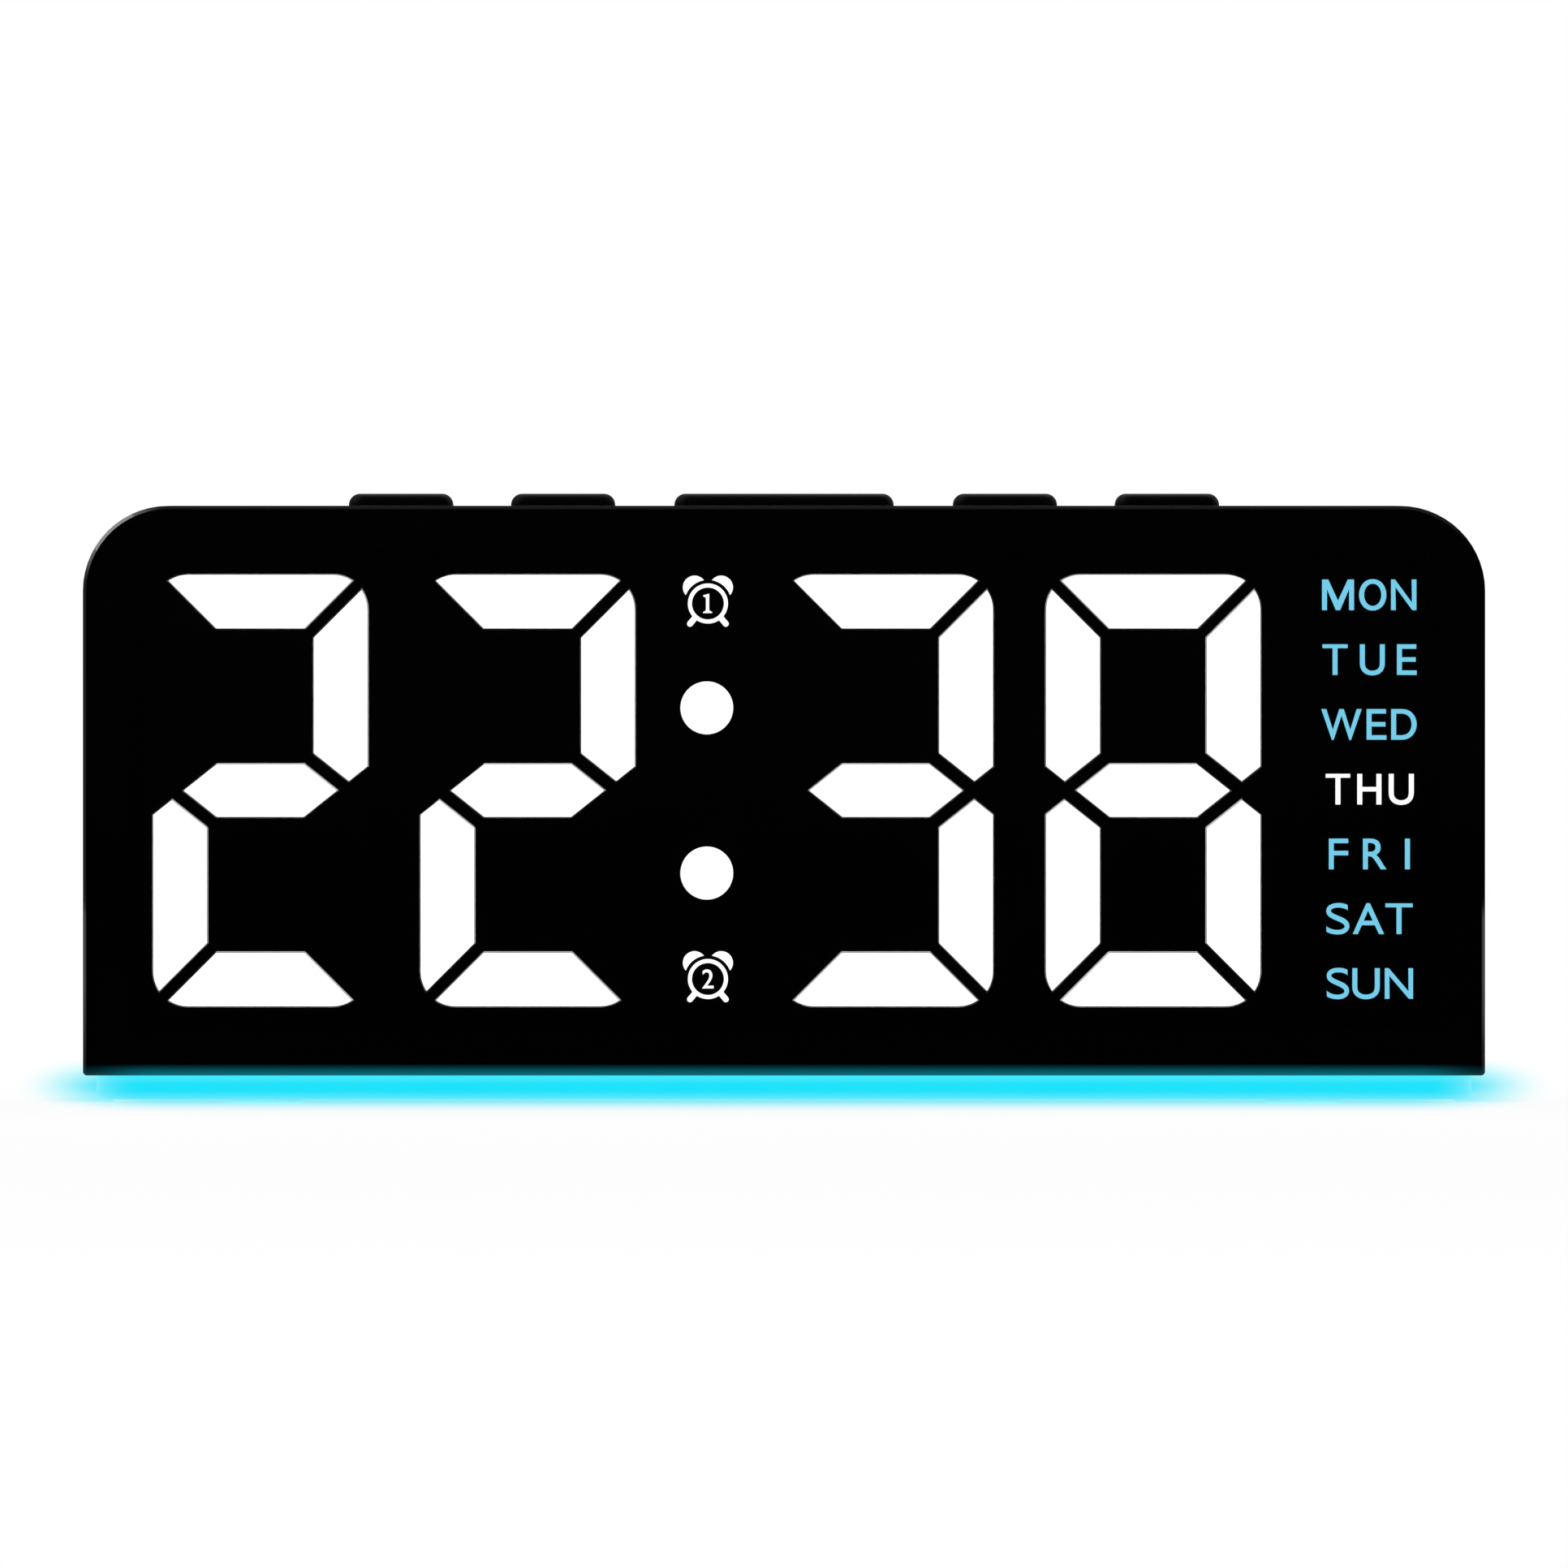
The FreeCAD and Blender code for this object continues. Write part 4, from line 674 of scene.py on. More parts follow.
class DAYCLOCK_OT_digits(bpy.types.Operator):
    """Lights the segments that spell the time, and leaves the others dark"""

    bl_idname = "dayclock.digits"
    bl_label = "Digits"

    def execute(self, context):
        colours, sizes = context.scene.day_clock_colours, context.scene.day_clock_sizes
        lit = glowing("segment_lit", colours.digits, WHITE_LIGHT * lens_gain(context), DIFFUSER_MILK)
        unlit = finish("segment_unlit", (0.025, 0.025, 0.027), (0.4, 0.55), spread=0.05)
        for index, character in enumerate(sizes.hours_and_minutes, start=1):
            if character not in SHAPES:
                raise ValueError(f"no segments are known for {character}")
            node = f"digit_{index}"
            shape = merged_copy(node)
            middle, size = node_middle(node), node_size(node)
            for island in islands(shape):
                centre = sum((face.calc_center_median() for face in island), Vector()) / len(island)
                name = self.segment(centre - middle, size)
                for face in island:
                    face.material_index = 0 if name in SHAPES[character] else 1
            fronts = [face for face in shape.faces if face.normal.y < -0.9]
            rim = bmesh.ops.inset_region(shape, faces=fronts, thickness=sizes.segment_rim,
                                         use_boundary=True, use_even_offset=True)
            for face in rim["faces"]:
                face.material_index = 1
            piece(f"segments_{index}", shape, [lit, unlit], stands_for=node)
        assign(["colon_dots"], lit)
        return {"FINISHED"}

    @staticmethod
    def segment(offset, size):
        """The letter of the segment at this place in its digit."""
        if abs(offset.x) < size.x / 6:
            if abs(offset.z) < size.z / 6:
                return "g"
            return "a" if offset.z > 0 else "d"
        if offset.x > 0:
            return "b" if offset.z > 0 else "c"
        return "f" if offset.z > 0 else "e"


class DAYCLOCK_OT_weekdays(bpy.types.Operator):
    """Puts the seven weekday names on their windows, with today's in its own colour"""

    bl_idname = "dayclock.weekdays"
    bl_label = "Weekday names"

    # How far the top name stands above its window's middle, and how much less each next one does.
    rise, rise_step = 0.23 * MM, 0.02 * MM

    def execute(self, context):
        colours, sizes = context.scene.day_clock_colours, context.scene.day_clock_sizes
        gain = lens_gain(context)
        plain = glowing("weekday_light", colours.names, gain, FILM_MILK)
        today = glowing("today_light", colours.today, WHITE_LIGHT * gain, FILM_MILK)
        assign([f"weekday_{day}" for day in WEEKDAYS], finish("name_film", **FILM))
        for row, day in enumerate(WEEKDAYS):
            node = f"weekday_{day}"
            middle = node_middle(node)
            level = middle.z + self.rise - row * self.rise_step - sizes.letter_height / 2
            shape = self.name_shape(day, sizes.letter_height, sizes.letter_stroke)
            facing_front(shape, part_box(node)[0].y - sizes.film_thickness, sizes.film_thickness,
                         (middle.x, level))
            piece(f"name_{day}", shape, [today if day == sizes.today else plain])
        return {"FINISHED"}

    @staticmethod
    def name_shape(day, height, stroke):
        """A weekday's three capitals, each between its own two ends."""
        line = bmesh.new()
        for character, (left, right) in zip(day.upper(), WEEKDAYS[day]):
            shape = capital(character, height, (right - left) * MM, stroke)
            move(shape, left * MM)
            join(line, shape)
        return line


class DAYCLOCK_OT_alarm_signs(bpy.types.Operator):
    """Draws the two small alarm clock signs, numbered 1 and 2, on their windows"""

    bl_idname = "dayclock.alarm_signs"
    bl_label = "Alarm signs"

    # How far the signs stand to the right of and above the middles of their windows.
    shift = (0.14 * MM, -0.09 * MM)

    def execute(self, context):
        colours, sizes = context.scene.day_clock_colours, context.scene.day_clock_sizes
        light = glowing("sign_light", colours.digits, WHITE_LIGHT * lens_gain(context), FILM_MILK)
        assign(["alarm_signs"], finish("sign_film", **FILM))
        low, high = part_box("alarm_signs")
        half_window = (high.x - low.x) / 2
        for number, numeral, height in (
                (1, self.one, high.z - half_window), (2, self.two, low.z + half_window)):
            shape = alarm_clock(sizes.sign_radius, sizes.sign_line)
            join(shape, numeral(sizes.sign_radius))
            facing_front(shape, low.y - sizes.film_thickness, sizes.film_thickness,
                         ((low.x + high.x) / 2 + self.shift[0], height + self.shift[1]))
            piece(f"alarm_sign_{number}", shape, [light])
        return {"FINISHED"}

    @staticmethod
    def one(radius):
        """A 1 with a thin flag and foot, for a sign of this radius."""
        return polygon((
            (-0.245, -0.49), (0.21, -0.49), (0.21, -0.43), (0.11, -0.39), (0.065, -0.32), (0.065, 0.51),
            (0.0, 0.49), (-0.24, 0.42), (-0.24, 0.365), (-0.15, 0.33), (-0.1, 0.27), (-0.1, -0.32),
            (-0.145, -0.39), (-0.245, -0.43)), 0.96 * radius)

    @staticmethod
    def two(radius):
        """A 2 for a sign of this radius."""
        height = 0.925 * radius
        width, stroke = 0.6 * height, 0.155 * height
        shape = capital("2", height, width, stroke)
        move(shape, -width / 2, -height / 2)
        return shape


class DAYCLOCK_OT_button_signs(bpy.types.Operator):
    """Prints a plain sign in the dish of each button cap"""

    bl_idname = "dayclock.button_signs"
    bl_label = "Button signs"

    def execute(self, context):
        sizes = context.scene.day_clock_sizes
        ink = finish("sign_ink", (0.55, 0.56, 0.57), (0.5, 0.6), spread=0.05, grain=3500.0, relief=0.1)
        for name, node in BUTTONS.items():
            middle = node_middle(node)
            shape = solid(getattr(self, name)(sizes.cap_sign), sizes.ink_thickness)
            move(shape, middle.x, middle.y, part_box(node)[1].z - sizes.cap_dish)
            piece(f"sign_{name}", shape, [ink], body=f"{name}_button")
        return {"FINISHED"}

    @staticmethod
    def set(height):
        """A wheel with eight teeth."""
        shape, outer = ring(0.4 * height, 0.2 * height)
        for index, vertex in enumerate(outer):
            if index % 8 < 4:
                vertex.co *= 1.25
        return shape

    @staticmethod
    def alarm(height):
        """An alarm clock with its two hands."""
        shape = alarm_clock(0.35 * height, 0.07 * height)
        line, hand = 0.04 * height, 0.19 * height
        join(shape, polygon((
            (-line, -line), (hand, -line), (hand, line), (line, line), (line, hand), (-line, hand))))
        return shape

    @staticmethod
    def snooze(height):
        """Two letters Z, the second one smaller and higher."""
        shape = bmesh.new()
        for size, x, y in ((0.8, -0.75, -0.5), (0.5, 0.25, 0.0)):
            sign = capital("Z", size * height, 0.8 * size * height, 0.16 * size * height)
            move(sign, x * height, y * height)
            join(shape, sign)
        return shape

    @staticmethod
    def light(height):
        """A sun with eight rays."""
        shape = disc(0.2 * height)
        for index in range(8):
            ray = polygon(((0.28, -0.035), (0.48, -0.035), (0.48, 0.035), (0.28, 0.035)), height)
            turn(ray, index * math.pi / 4, "Z")
            join(shape, ray)
        return shape

    @staticmethod
    def volume(height):
        """A loudspeaker with two waves."""
        shape = polygon(((-0.5, -0.15), (-0.3, -0.15), (-0.05, -0.38), (-0.05, 0.38), (-0.3, 0.15),
                         (-0.5, 0.15)), height)
        for radius in (0.27, 0.47):
            join(shape, arc(radius * height, 0.07 * height, math.radians(48), -0.05 * height))
        return shape


class DAYCLOCK_OT_screws(bpy.types.Operator):
    """Cuts the cross into the head of every screw"""

    bl_idname = "dayclock.screws"
    bl_label = "Screws"

    # An arm of the cross in shares of the head's radius, half of its height below the head's top, and
    # how far it narrows on the way down.
    arm = (1.15, 0.26, 1.2)
    narrowing = (0.35, 0.7, 1.0)

    def execute(self, context):
        steel = finish("zinc_steel", (0.42, 0.42, 0.44), (0.25, 0.4), grain=3000.0, relief=0.1,
                       Metallic=1.0)
        for node, (axis, end) in SCREW_HEADS.items():
            shape = merged_copy(node)
            heads = [self.head(island, axis, end) for island in islands(shape)]
            for angle in (math.pi / 4, 3 * math.pi / 4):
                tool = bmesh.new()
                for place, radius in heads:
                    join(tool, self.slot(place, radius, axis, end, angle))
                shape = carved(shape, tool)
            piece(f"{node}_crossed", shape, [steel], smooth=35, stands_for=node)
        return {"FINISHED"}

    @staticmethod
    def head(island, axis, end):
        """The middle of a screw's head, and the head's radius."""
        low, high = island_box(island)
        place = (low + high) / 2
        place[axis] = high[axis] if end > 0 else low[axis]
        return place, (high.x - low.x) / 2

    def slot(self, place, radius, axis, end, angle):
        """One arm of the cross: a bar that narrows as it goes down."""
        shape = block(*(share * radius for share in self.arm))
        deep = [vertex for vertex in shape.verts if vertex.co.z < 0]
        bmesh.ops.scale(shape, vec=self.narrowing, verts=deep)
        turn(shape, angle, "Z")
        if axis == 1:
            turn(shape, -end * math.pi / 2, "X")
        elif end < 0:
            turn(shape, math.pi, "X")
        move(shape, *place)
        return shape


class DAYCLOCK_OT_cells(bpy.types.Operator):
    """Wraps the battery cells in banded sleeves, bares their ends and prints their signs"""

    bl_idname = "dayclock.cells"
    bl_label = "Battery cells"

    # How far from a cell's tip its band starts and ends and its plus stands, and how far from its other
    # end its minus stands.
    band = (3.0 * MM, 5.0 * MM)
    plus, minus = 8.5 * MM, 7.0 * MM
    sign = 2.4 * MM

    def execute(self, context):
        colours, sizes = context.scene.day_clock_colours, context.scene.day_clock_sizes
        shape = merged_copy("battery_cells")
        cells = [self.cell(island) for island in islands(shape)]
        for tip, away, _, _ in cells:
            for distance in self.band:
                cut(shape, (tip + away * distance, 0, 0), (1, 0, 0))
        shape.normal_update()
        for face in shape.faces:
            middle = face.calc_center_median()
            tip, away, centre, radius = min(cells, key=lambda one: (middle.yz - one[2]).length)
            on_sleeve = (middle.yz - centre).length > 0.9 * radius and abs(face.normal.x) < 0.5
            banded = self.band[0] < (middle.x - tip) * away < self.band[1]
            face.material_index = (2 if banded else 0) if on_sleeve else 1
        sleeve, steel, silver, ink = (
            finish(f"cell_{part}", colour, gloss, spread=spread, grain=grain, relief=0.05, Metallic=metal)
            for part, colour, gloss, spread, grain, metal in (
                ("sleeve", colours.sleeve, (0.22, 0.3), 0.05, 1500.0, 0.4),
                ("steel", (0.6, 0.6, 0.61), (0.2, 0.35), 0.05, 3000.0, 1.0),
                ("band", (0.55, 0.56, 0.58), (0.2, 0.3), 0.04, 1500.0, 0.8),
                ("ink", (0.75, 0.76, 0.78), (0.4, 0.5), 0.03, 1500.0, 0.0)))
        piece("cells", shape, [sleeve, steel, silver], smooth=35,
              stands_for="battery_cells")
        marks = bmesh.new()
        length = node_size("battery_cells").x
        for tip, away, centre, radius in cells:
            for distance, crossed in ((self.plus, True), (length - self.minus, False)):
                along = tip + away * distance
                join(marks, self.mark(along, centre, radius, crossed, sizes.ink_thickness))
        piece("cell_marks", marks, [ink])
        return {"FINISHED"}

    @staticmethod
    def cell(island):
        """The place of a cell's pip, the way from there to its flat end, its axis and its radius."""
        low, high = island_box(island)
        centre, radius = ((low + high) / 2).yz, (high.z - low.z) / 2
        ends = [vertex for face in island for vertex in face.verts if vertex.co.x > high.x - GAP * 10]
        pip_high = max((vertex.co.yz - centre).length for vertex in ends) < 0.6 * radius
        return (high.x, -1, centre, radius) if pip_high else (low.x, 1, centre, radius)

    def mark(self, along, centre, radius, crossed, thickness):
        """A plus or a minus, bent round the cell's sleeve on the side of the door."""
        squares_across, half_line = 12, self.sign / 8
        shape = bmesh.new()
        bmesh.ops.create_grid(shape, x_segments=squares_across, y_segments=squares_across,
                              size=self.sign / 2)
        spare = []
        for face in shape.faces:
            middle = face.calc_center_median()
            if abs(middle.y) > half_line and not (crossed and abs(middle.x) < half_line):
                spare.append(face)
        bmesh.ops.delete(shape, geom=spare, context="FACES")
        thicken(shape, thickness)
        for vertex in shape.verts:
            angle, out = vertex.co.y / radius, radius + vertex.co.z
            vertex.co = (along + vertex.co.x, centre[0] + out * math.cos(angle),
                         centre[1] + out * math.sin(angle))
        return shape


class DAYCLOCK_OT_power_socket(bpy.types.Operator):
    """Gives the power socket a black tongue with gold contacts in its steel shell"""

    bl_idname = "dayclock.power_socket"
    bl_label = "Power socket"

    # The tongue's width and height, how far from the shell's inner end its faces start, the contacts'
    # number and size, and how far behind the tongue's tip they start.
    tongue = (6.7 * MM, 0.7 * MM)
    tongue_start = 0.5 * MM
    contacts = 8
    contact = (0.28 * MM, 3.0 * MM, 0.03 * MM)
    contact_start = 0.3 * MM

    def execute(self, context):
        shape = merged_copy("usb_socket")
        low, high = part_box("usb_socket")
        middle = (low + high) / 2
        for face in shape.faces:
            place = face.calc_center_median()
            on_tongue = self.within(place - middle, 0.05 * MM) and place.y > low.y + self.tongue_start
            face.material_index = 1 if on_tongue else 0
        steel = finish("socket_steel", (0.6, 0.6, 0.61), (0.22, 0.36), spread=0.06, grain=3000.0,
                       relief=0.1, Metallic=1.0)
        black = finish("socket_tongue", (0.012, 0.012, 0.012), (0.4, 0.5))
        gold = finish("contact_gold", (0.83, 0.6, 0.26), (0.2, 0.3), spread=0.05, grain=2000.0,
                      relief=0.05, Metallic=1.0)
        piece("power_socket", shape, [steel, black], smooth=35,
              stands_for="usb_socket")
        tip = max(vertex.co.y for vertex in NODES["usb_socket"].data.vertices
                  if self.within(vertex.co - middle, GAP))
        pads = bmesh.new()
        width, length, height = self.contact
        for side in (-1, 1):
            for index in range(self.contacts):
                x = middle.x + (index - (self.contacts - 1) / 2) * self.tongue[0] / (self.contacts + 1)
                pad = block(*self.contact)
                upright = [edge for edge in pad.edges
                           if abs((edge.verts[0].co - edge.verts[1].co).z) > GAP]
                bmesh.ops.bevel(pad, geom=upright, affect="EDGES", offset=width / 4, segments=2,
                                profile=0.5, material=-1)
                move(pad, x, tip - self.contact_start - length / 2,
                     middle.z + side * (self.tongue[1] + height) / 2)
                join(pads, pad)
        piece("power_contacts", pads, [gold])
        return {"FINISHED"}

    def within(self, place, margin):
        """Whether a place, taken from the socket's middle, lies in the tongue's outline."""
        return abs(place.x) < self.tongue[0] / 2 + margin and abs(place.z) < self.tongue[1] / 2 + margin


class DAYCLOCK_OT_door_mark(bpy.types.Operator):
    """Sinks an arrow into the battery door under its latch"""

    bl_idname = "dayclock.door_mark"
    bl_label = "Door mark"

    # The arrow's corners in millimetres, its depth, and how far under the door's top its middle is.
    arrow = ((-1.2, -3.6), (1.2, -3.6), (1.2, -0.4), (3.4, -0.4), (0.0, 3.6), (-3.4, -0.4),
             (-1.2, -0.4))
    sunk = 0.5 * MM
    below_top = 14.0 * MM

    def execute(self, context):
        low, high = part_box("battery_door")
        tool = polygon(self.arrow, MM)
        facing_front(tool, high.y - self.sunk, 2 * self.sunk,
                     ((low.x + high.x) / 2, high.z - self.below_top))
        plastic = bpy.data.materials["case_plastic"]
        piece("door_panel", carved(merged_copy("battery_door"), tool), [plastic],
              body="door", smooth=35, stands_for="battery_door")
        return {"FINISHED"}


class DAYCLOCK_OT_finishes(bpy.types.Operator):
    """Gives every part of the case and the inside its finish"""

    bl_idname = "dayclock.finishes"
    bl_label = "Finishes"

    # The light guide: how far its paler ends and its paler foot reach, and how far below its top its
    # bright lip starts and is full.
    ends, foot, lip = 5.7 * MM, 1.3 * MM, (1.2 * MM, 0.2 * MM)
    # How far its colour varies towards another one.
    cloud, cloud_colour = 0.06, (0.05, 0.8, 0.9)

    def execute(self, context):
        colours = context.scene.day_clock_colours
        looks = [
            (finish("case_plastic", colours.case, (0.38, 0.47), spread=0.08, grain=3200.0, relief=0.35),
             ["front_frame", "rear_housing", "base_plate"]),
            (finish("button_plastic", colours.buttons, (0.4, 0.5), spread=0.06, grain=4200.0,
                    relief=0.2, grain_height=0.012 * MM, Specular_IOR_Level=0.02), BUTTONS.values()),
            (finish("lens_tape", (0.012, 0.012, 0.012), (0.7, 0.8), spread=0.2), ["lens_tape"]),
            (finish("reflector_plastic", (0.01, 0.01, 0.01), (0.6, 0.7)), ["segment_reflector"]),
            (finish("board_mask", (0.03, 0.16, 0.08), (0.3, 0.4), spread=0.12, grain=1800.0,
                    relief=0.2), ["display_board", "button_board", "power_board"]),
            (finish("white_board_mask", (0.8, 0.8, 0.79), (0.35, 0.45), spread=0.03, grain=1800.0),
             ["light_board"]),
            (finish("diode_resin", (0.85, 0.8, 0.45), (0.3, 0.4), spread=0.06),
             ["segment_leds", "light_leds"]),
            (finish("chip_resin", (0.02, 0.02, 0.021), (0.45, 0.55), spread=0.15),
             ["clock_chip", "led_drivers", "buzzer"]),
            (finish("nickel_steel", (0.62, 0.62, 0.63), (0.22, 0.36), spread=0.08, grain=3000.0,
                    relief=0.1, Metallic=1.0), ["clock_crystal", "contact_springs", "contact_plates"]),
            (finish("switch_plastic", (0.016, 0.016, 0.017), (0.45, 0.55)),
             ["tactile_switches", "battery_box"]),
            (finish("plunger_plastic", (0.75, 0.75, 0.72), (0.35, 0.45), spread=0.03),
             [f"plunger_{name}" for name in BUTTONS]),
            (finish("socket_plastic", (0.78, 0.75, 0.66), (0.4, 0.5), spread=0.04),
             ["board_header", "ribbon_sockets", "ribbon_cable"]),
            # The clear silicone feet carry painted glow: emission in the night light's colour stands in
            # for the light they pick up from the guide.
            (finish("foot_silicone_painted_glow", (0.35, 0.45, 0.47), (0.45, 0.6), spread=0.05, grain=1500.0,
                    Emission_Color=colours.night_light_end, Emission_Strength=0.85), ["rubber_feet"]),
            (self.night_light(colours), ["light_guide"]),
        ]
        for material, names in looks:
            assign(names, material)
        return {"FINISHED"}

    def night_light(self, colours):
        """The glowing guide: even along the case, brighter at its lip, paler at its foot and ends."""
        material, tree, shader, place = material_base("night_light")
        low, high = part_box("light_guide")
        x, _, z = axes(tree, place)
        across = between(tree, reckon(tree, "ABSOLUTE", x), 0.0, 1.0, high.x - self.ends, high.x)
        down = between(tree, z, 1.0, 0.0, low.z, low.z + self.foot)
        paler = reckon(tree, "MULTIPLY", 0.5, squares(tree, across, down))
        lip = between(tree, z, 0.0, 1.0, high.z - self.lip[0], high.z - self.lip[1], soft=True)
        cloud = between(tree, noise(tree, place, 120.0), 0.0, self.cloud)
        base = mix(tree, cloud, colours.night_light, self.cloud_colour)
        cast = mix(tree, paler, mix(tree, lip, base, colours.night_light_lip), colours.night_light_end)
        dress(tree, shader, Emission_Color=cast, Emission_Strength=1.0, Specular_IOR_Level=0.15,
              Base_Color=mix(tree, cloud, (0.004, 0.03, 0.04), (0.01, 0.05, 0.06)),
              Roughness=between(tree, cloud, 0.5, 0.6, 0.0, self.cloud))
        bump(tree, shader, noise(tree, place, 2200.0), 0.1, 0.01 * MM)
        return material


class DAYCLOCK_OT_stage(bpy.types.Operator):
    """Sets up the table, the light and the camera"""

    bl_idname = "dayclock.stage"
    bl_label = "Stage"

    table_radius = 3.0
    # Where, from front to back, a reflection stops showing the front's dark card and shows the table.
    front_card = (-0.03, 0.01)
    dark_card = (0.01, 0.01, 0.01)
    # The table's share of plain white next to the clock, and the distances over which it grows to all.
    near_white, near_white_reach = 0.93, (0.005, 0.12)
    # The painted halo: the radius of its corners, and the share of a sideways distance that counts for
    # it.
    halo_corner, halo_squeeze = 6 * MM, 0.7
    # The shine: how far inside the guide's ends it starts and its core lies, how far its core lies under
    # the guide's middle, how far it keeps from the front and the back, how much redder its core is than
    # the lip, and how much more green and blue it takes away than the lip's colour says.
    shine_inset, shine_core, shine_drop, shine_margin = 2 * MM, 0.9 * MM, 0.2 * MM, 6 * MM
    shine_red, shine_tint = 1.8, 1.5
    # What a reflection shows of the sky: the least and the most light behind the clock, on its left,
    # above it and in a soft box, and the directions between which each of them grows.
    sky_behind, sky_left = (0.01, 0.6, 0.0, 0.75), (0.0, 0.25, 0.3, 0.8)
    sky_above, sky_box = (0.0, 0.22, 0.5, 0.9), (0.0, 2.4, 0.78, 1.0)
    sky_light = 0.35
    # Place, size and power of each lamp.
    lamp_plan = (
        ("top_lamp", (0.05, 0.55, 0.85), (0.8, 0.5), 5.0),
        ("left_lamp", (-0.62, 0.1, 0.66), (0.4, 0.5), 1.6),
        ("fill_lamp", (0.75, 0.35, 0.45), (0.5, 0.5), 1.6),
    )
    lamp_aim = (0, 0, 0.04)

    def execute(self, context):
        self.table(context)
        self.shine(context)
        self.sky(context)
        self.lamps(context)
        self.camera(context)
        context.scene.view_settings.view_transform = "Standard"
        return {"FINISHED"}

    def table(self, context):
        """A white table with a faint shadow and the night light's halo painted into its colour, open from
        below.
        """
        table = holder("table", disc(self.table_radius, segments=96))
        material = bpy.data.materials.new("table_white")
        tree, output = emptied(material, "OutputMaterial")
        place = object_place(tree)
        stage = context.scene.day_clock_stage
        # Painted light: the night light's pool is painted into the table's colour round the guide, fading
        # to white.
        distance = self.guide_distance(tree, place, stage.halo_stretch)
        fade = between(tree, distance, 0.0, 1.0, -stage.halo, stage.halo, soft=True)
        colour = mix(tree, fade, context.scene.day_clock_colours.table_light, WHITE)
        plain = between(tree, distance, self.near_white, 1.0, *self.near_white_reach, soft=True)
        path = add(tree, "LightPath").outputs
        behind = between(tree, axes(tree, place)["Y"], 0.0, 1.0, *self.front_card, soft=True)
        mirrored = reckon(tree, "MULTIPLY", path["Is Glossy Ray"], behind)
        seen = largest(tree, path["Is Camera Ray"], path["Is Transmission Ray"], mirrored)
        lit, glow, card, open_below = (
            add(tree, kind, sources).outputs[0] for kind, sources in (
                ("BsdfDiffuse", {"Color": colour}), ("Emission", {"Color": colour}),
                ("BsdfDiffuse", {"Color": self.dark_card}), ("BsdfTransparent", {})))
        surface = blend_shaders(tree, reckon(tree, "MULTIPLY", seen, plain), lit, glow)
        on_card = reckon(tree, "SUBTRACT", path["Is Glossy Ray"], mirrored)
        surface = blend_shaders(tree, on_card, surface, card)
        under = add(tree, "NewGeometry").outputs["Backfacing"]
        link(tree, blend_shaders(tree, under, surface, open_below), output.inputs["Surface"])
        table.data.materials.append(material)

    def guide_distance(self, tree, place, stretch):
        """How far a point of the table lies outside the light guide's outline."""
        size = node_size("light_guide")
        squeeze = (self.halo_squeeze, 1 / stretch, 0)
        quadrant = vectors(tree, "ABSOLUTE", vectors(tree, "MULTIPLY", place, squeeze))
        inside = (*(size[axis] / 2 * squeeze[axis] - self.halo_corner for axis in (0, 1)), 0)
        outside = vectors(tree, "MAXIMUM", vectors(tree, "SUBTRACT", quadrant, inside))
        length = vectors(tree, "LENGTH", outside, result="Value")
        return reckon(tree, "SUBTRACT", length, self.halo_corner)

    def shine(self, context):
        """The shine of the night light in the air at both ends: a haze that only the camera sees."""
        stage = context.scene.day_clock_stage
        low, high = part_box("light_guide")
        start, height = high.x - self.shine_core, (low.z + high.z) / 2 - self.shine_drop
        depth = high.y - self.shine_margin
        inner, outer = high.x - self.shine_inset, start + stage.shine_across
        top = height + stage.shine_up
        shape = bmesh.new()
        for side in (-1, 1):
            cloud = block(outer - inner, 2 * depth, top - GAP)
            move(cloud, side * (inner + outer) / 2, 0, (top + GAP) / 2)
            join(shape, cloud)
        haze = holder("shine", shape)
        material = bpy.data.materials.new("shine")
        tree, output = emptied(material, "OutputMaterial")
        place = vectors(tree, "ABSOLUTE", object_place(tree))
        x, _, z = axes(tree, vectors(tree, "SUBTRACT", place, (start, 0, height)))
        across = reckon(tree, "DIVIDE", largest(tree, x, 0.0), stage.shine_across)
        upright = reckon(tree, "DIVIDE", z, stage.shine_up)
        distance = reckon(tree, "SQRT", squares(tree, across, upright))
        light = context.scene.day_clock_colours.night_light_lip
        red_left = between(tree, distance, self.shine_red * light[0], 1.0, 0.0, 1.0, soft=True)
        thickness = reckon(tree, "LOGARITHM", red_left, math.e)
        density = reckon(tree, "MULTIPLY", thickness, -1 / (2 * depth))
        camera_ray = add(tree, "LightPath").outputs["Is Camera Ray"]
        others = [1 - self.shine_tint * math.log(channel) / math.log(light[0]) for channel in light[1:]]
        absorption = add(tree, "VolumeAbsorption", {
            "Color": (0.0, *others), "Density": reckon(tree, "MULTIPLY", density, camera_ray)})
        link(tree, absorption.outputs["Volume"], output.inputs["Volume"])
        haze.data.materials.append(material)

    def sky(self, context):
        """White where it is seen, dim on the face's side of a reflection, and even as light."""
        world = bpy.data.worlds.new("studio")
        context.scene.world = world
        tree, output = emptied(world, "OutputWorld")
        direction = add(tree, "TexCoord").outputs["Generated"]
        x, y, z = axes(tree, direction)
        left = reckon(tree, "MULTIPLY", x, -1.0)
        to_box = vectors(tree, "DOT_PRODUCT", direction, (-math.sqrt(0.5), 0, math.sqrt(0.5)), "Value")
        behind, side, above, soft_box = (
            between(tree, way, *limits, soft=True) for way, limits in (
                (y, self.sky_behind), (left, self.sky_left), (z, self.sky_above), (to_box, self.sky_box)))
        mirrored = reckon(tree, "ADD", largest(tree, behind, side, above), soft_box)
        path = add(tree, "LightPath").outputs
        level = add(tree, "Mix", {0: path["Is Glossy Ray"], 2: self.sky_light, 3: mirrored},
                    data_type="FLOAT").outputs[0]
        strength = largest(tree, path["Is Camera Ray"], path["Is Transmission Ray"], level)
        background = add(tree, "Background", {"Color": WHITE, "Strength": strength})
        link(tree, background.outputs["Background"], output.inputs["Surface"])

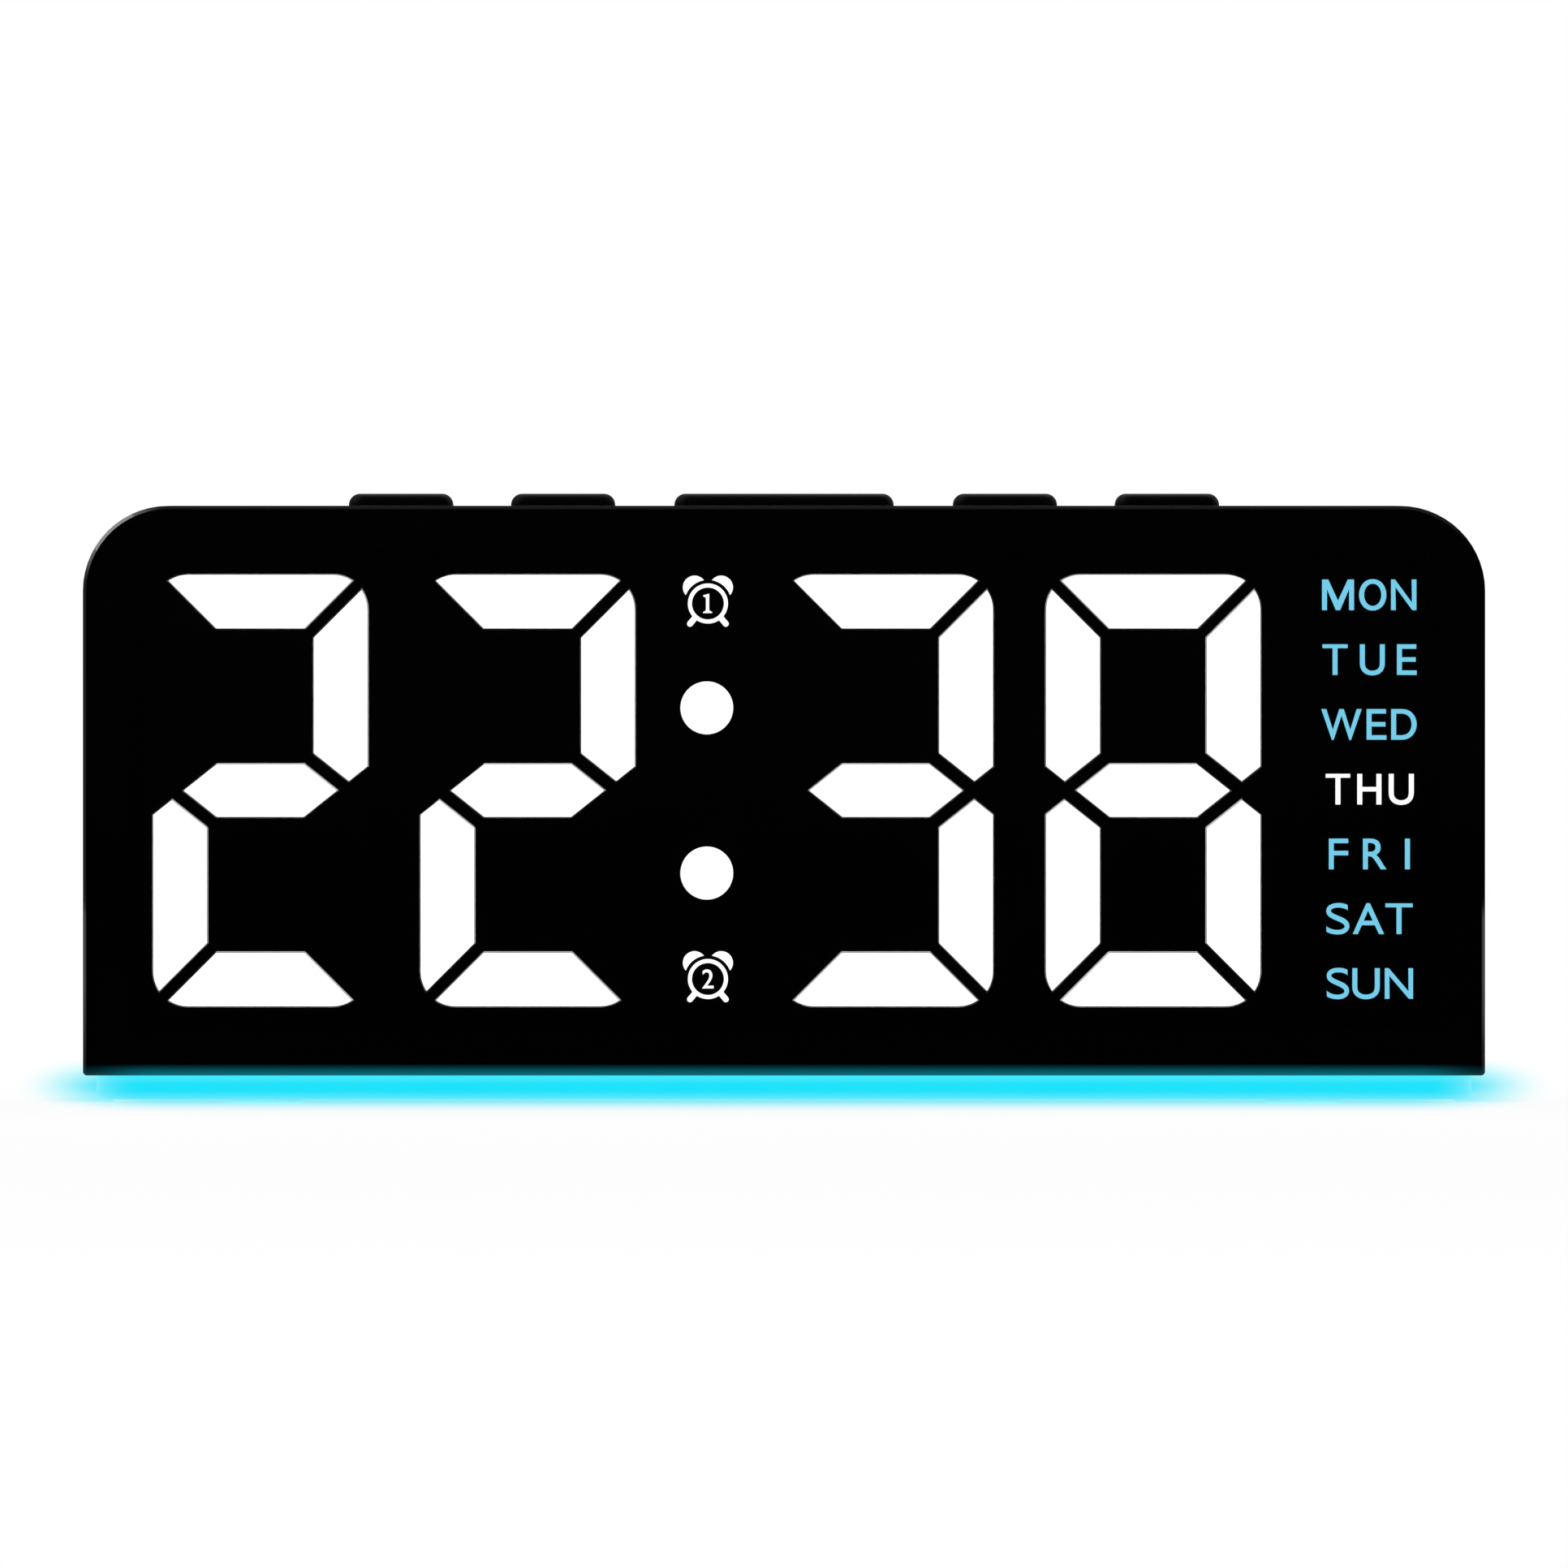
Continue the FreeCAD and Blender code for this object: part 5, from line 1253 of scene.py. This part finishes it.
    def lamps(self, context):
        """Soft lamps: one above and behind, one high on the left, and a weak one on the right."""
        for name, place, size, power in self.lamp_plan:
            lamp = bpy.data.lights.new(name, "AREA")
            lamp.shape = "RECTANGLE"
            lamp.size, lamp.size_y = size
            lamp.energy = power
            stand = bpy.data.objects.new(name, lamp)
            context.scene.collection.objects.link(stand)
            self.aim(stand, place, self.lamp_aim)

    def camera(self, context):
        """A long lens, square to the face."""
        stage = context.scene.day_clock_stage
        front = CAD_BOX[0].y
        lens = bpy.data.cameras.new("camera")
        camera = bpy.data.objects.new("camera", lens)
        context.scene.collection.objects.link(camera)
        reach_of_lens = self.aim(camera, (0, front - stage.camera_distance, stage.camera_height),
                                 (0, front, stage.aim_height))
        lens.sensor_width = 36.0
        lens.lens = lens.sensor_width * reach_of_lens / stage.frame_width
        lens.clip_start, lens.clip_end = 0.01, 20.0
        context.scene.camera = camera

    @staticmethod
    def aim(thing, place, target):
        """Puts a lamp or the camera in its place, turns it to its target and tells the distance."""
        thing.location = place
        way = Vector(target) - Vector(place)
        thing.rotation_euler = way.to_track_quat("-Z", "Y").to_euler()
        return way.length


class DAYCLOCK_PT_panel(bpy.types.Panel):
    """The steps that finish the day clock"""

    bl_idname = "DAYCLOCK_PT_panel"
    bl_label = "Day Clock"
    bl_space_type = "VIEW_3D"
    bl_region_type = "UI"
    bl_category = "Day Clock"

    def draw(self, context):
        for name, kind in GROUPS.items():
            box = self.layout.box()
            for setting in kind.__annotations__:
                box.prop(getattr(context.scene, name), setting)
        for operator in OPERATORS:
            self.layout.operator(operator.bl_idname)


OPERATORS = (
    DAYCLOCK_OT_finishes,
    DAYCLOCK_OT_lens,
    DAYCLOCK_OT_digits,
    DAYCLOCK_OT_weekdays,
    DAYCLOCK_OT_alarm_signs,
    DAYCLOCK_OT_button_signs,
    DAYCLOCK_OT_screws,
    DAYCLOCK_OT_cells,
    DAYCLOCK_OT_power_socket,
    DAYCLOCK_OT_door_mark,
    DAYCLOCK_OT_stage,
)
GROUPS = {
    "day_clock_sizes": DayClockSizes,
    "day_clock_colours": DayClockColours,
    "day_clock_stage": DayClockStage,
}
CLASSES = (*GROUPS.values(), *OPERATORS, DAYCLOCK_PT_panel)


def register():
    """Makes the settings, the steps and the panel known."""
    for item in CLASSES:
        bpy.utils.register_class(item)
    for name, group in GROUPS.items():
        setattr(bpy.types.Scene, name, bpy.props.PointerProperty(type=group))


def unregister():
    """Takes back what register did."""
    for name in GROUPS:
        delattr(bpy.types.Scene, name)
    for item in reversed(CLASSES):
        bpy.utils.unregister_class(item)


def main():
    """Finishes the clock, one step after another."""
    register()
    for operator in OPERATORS:
        module, name = operator.bl_idname.split(".")
        getattr(getattr(bpy.ops, module), name)()


if __name__ == "__main__":
    main()
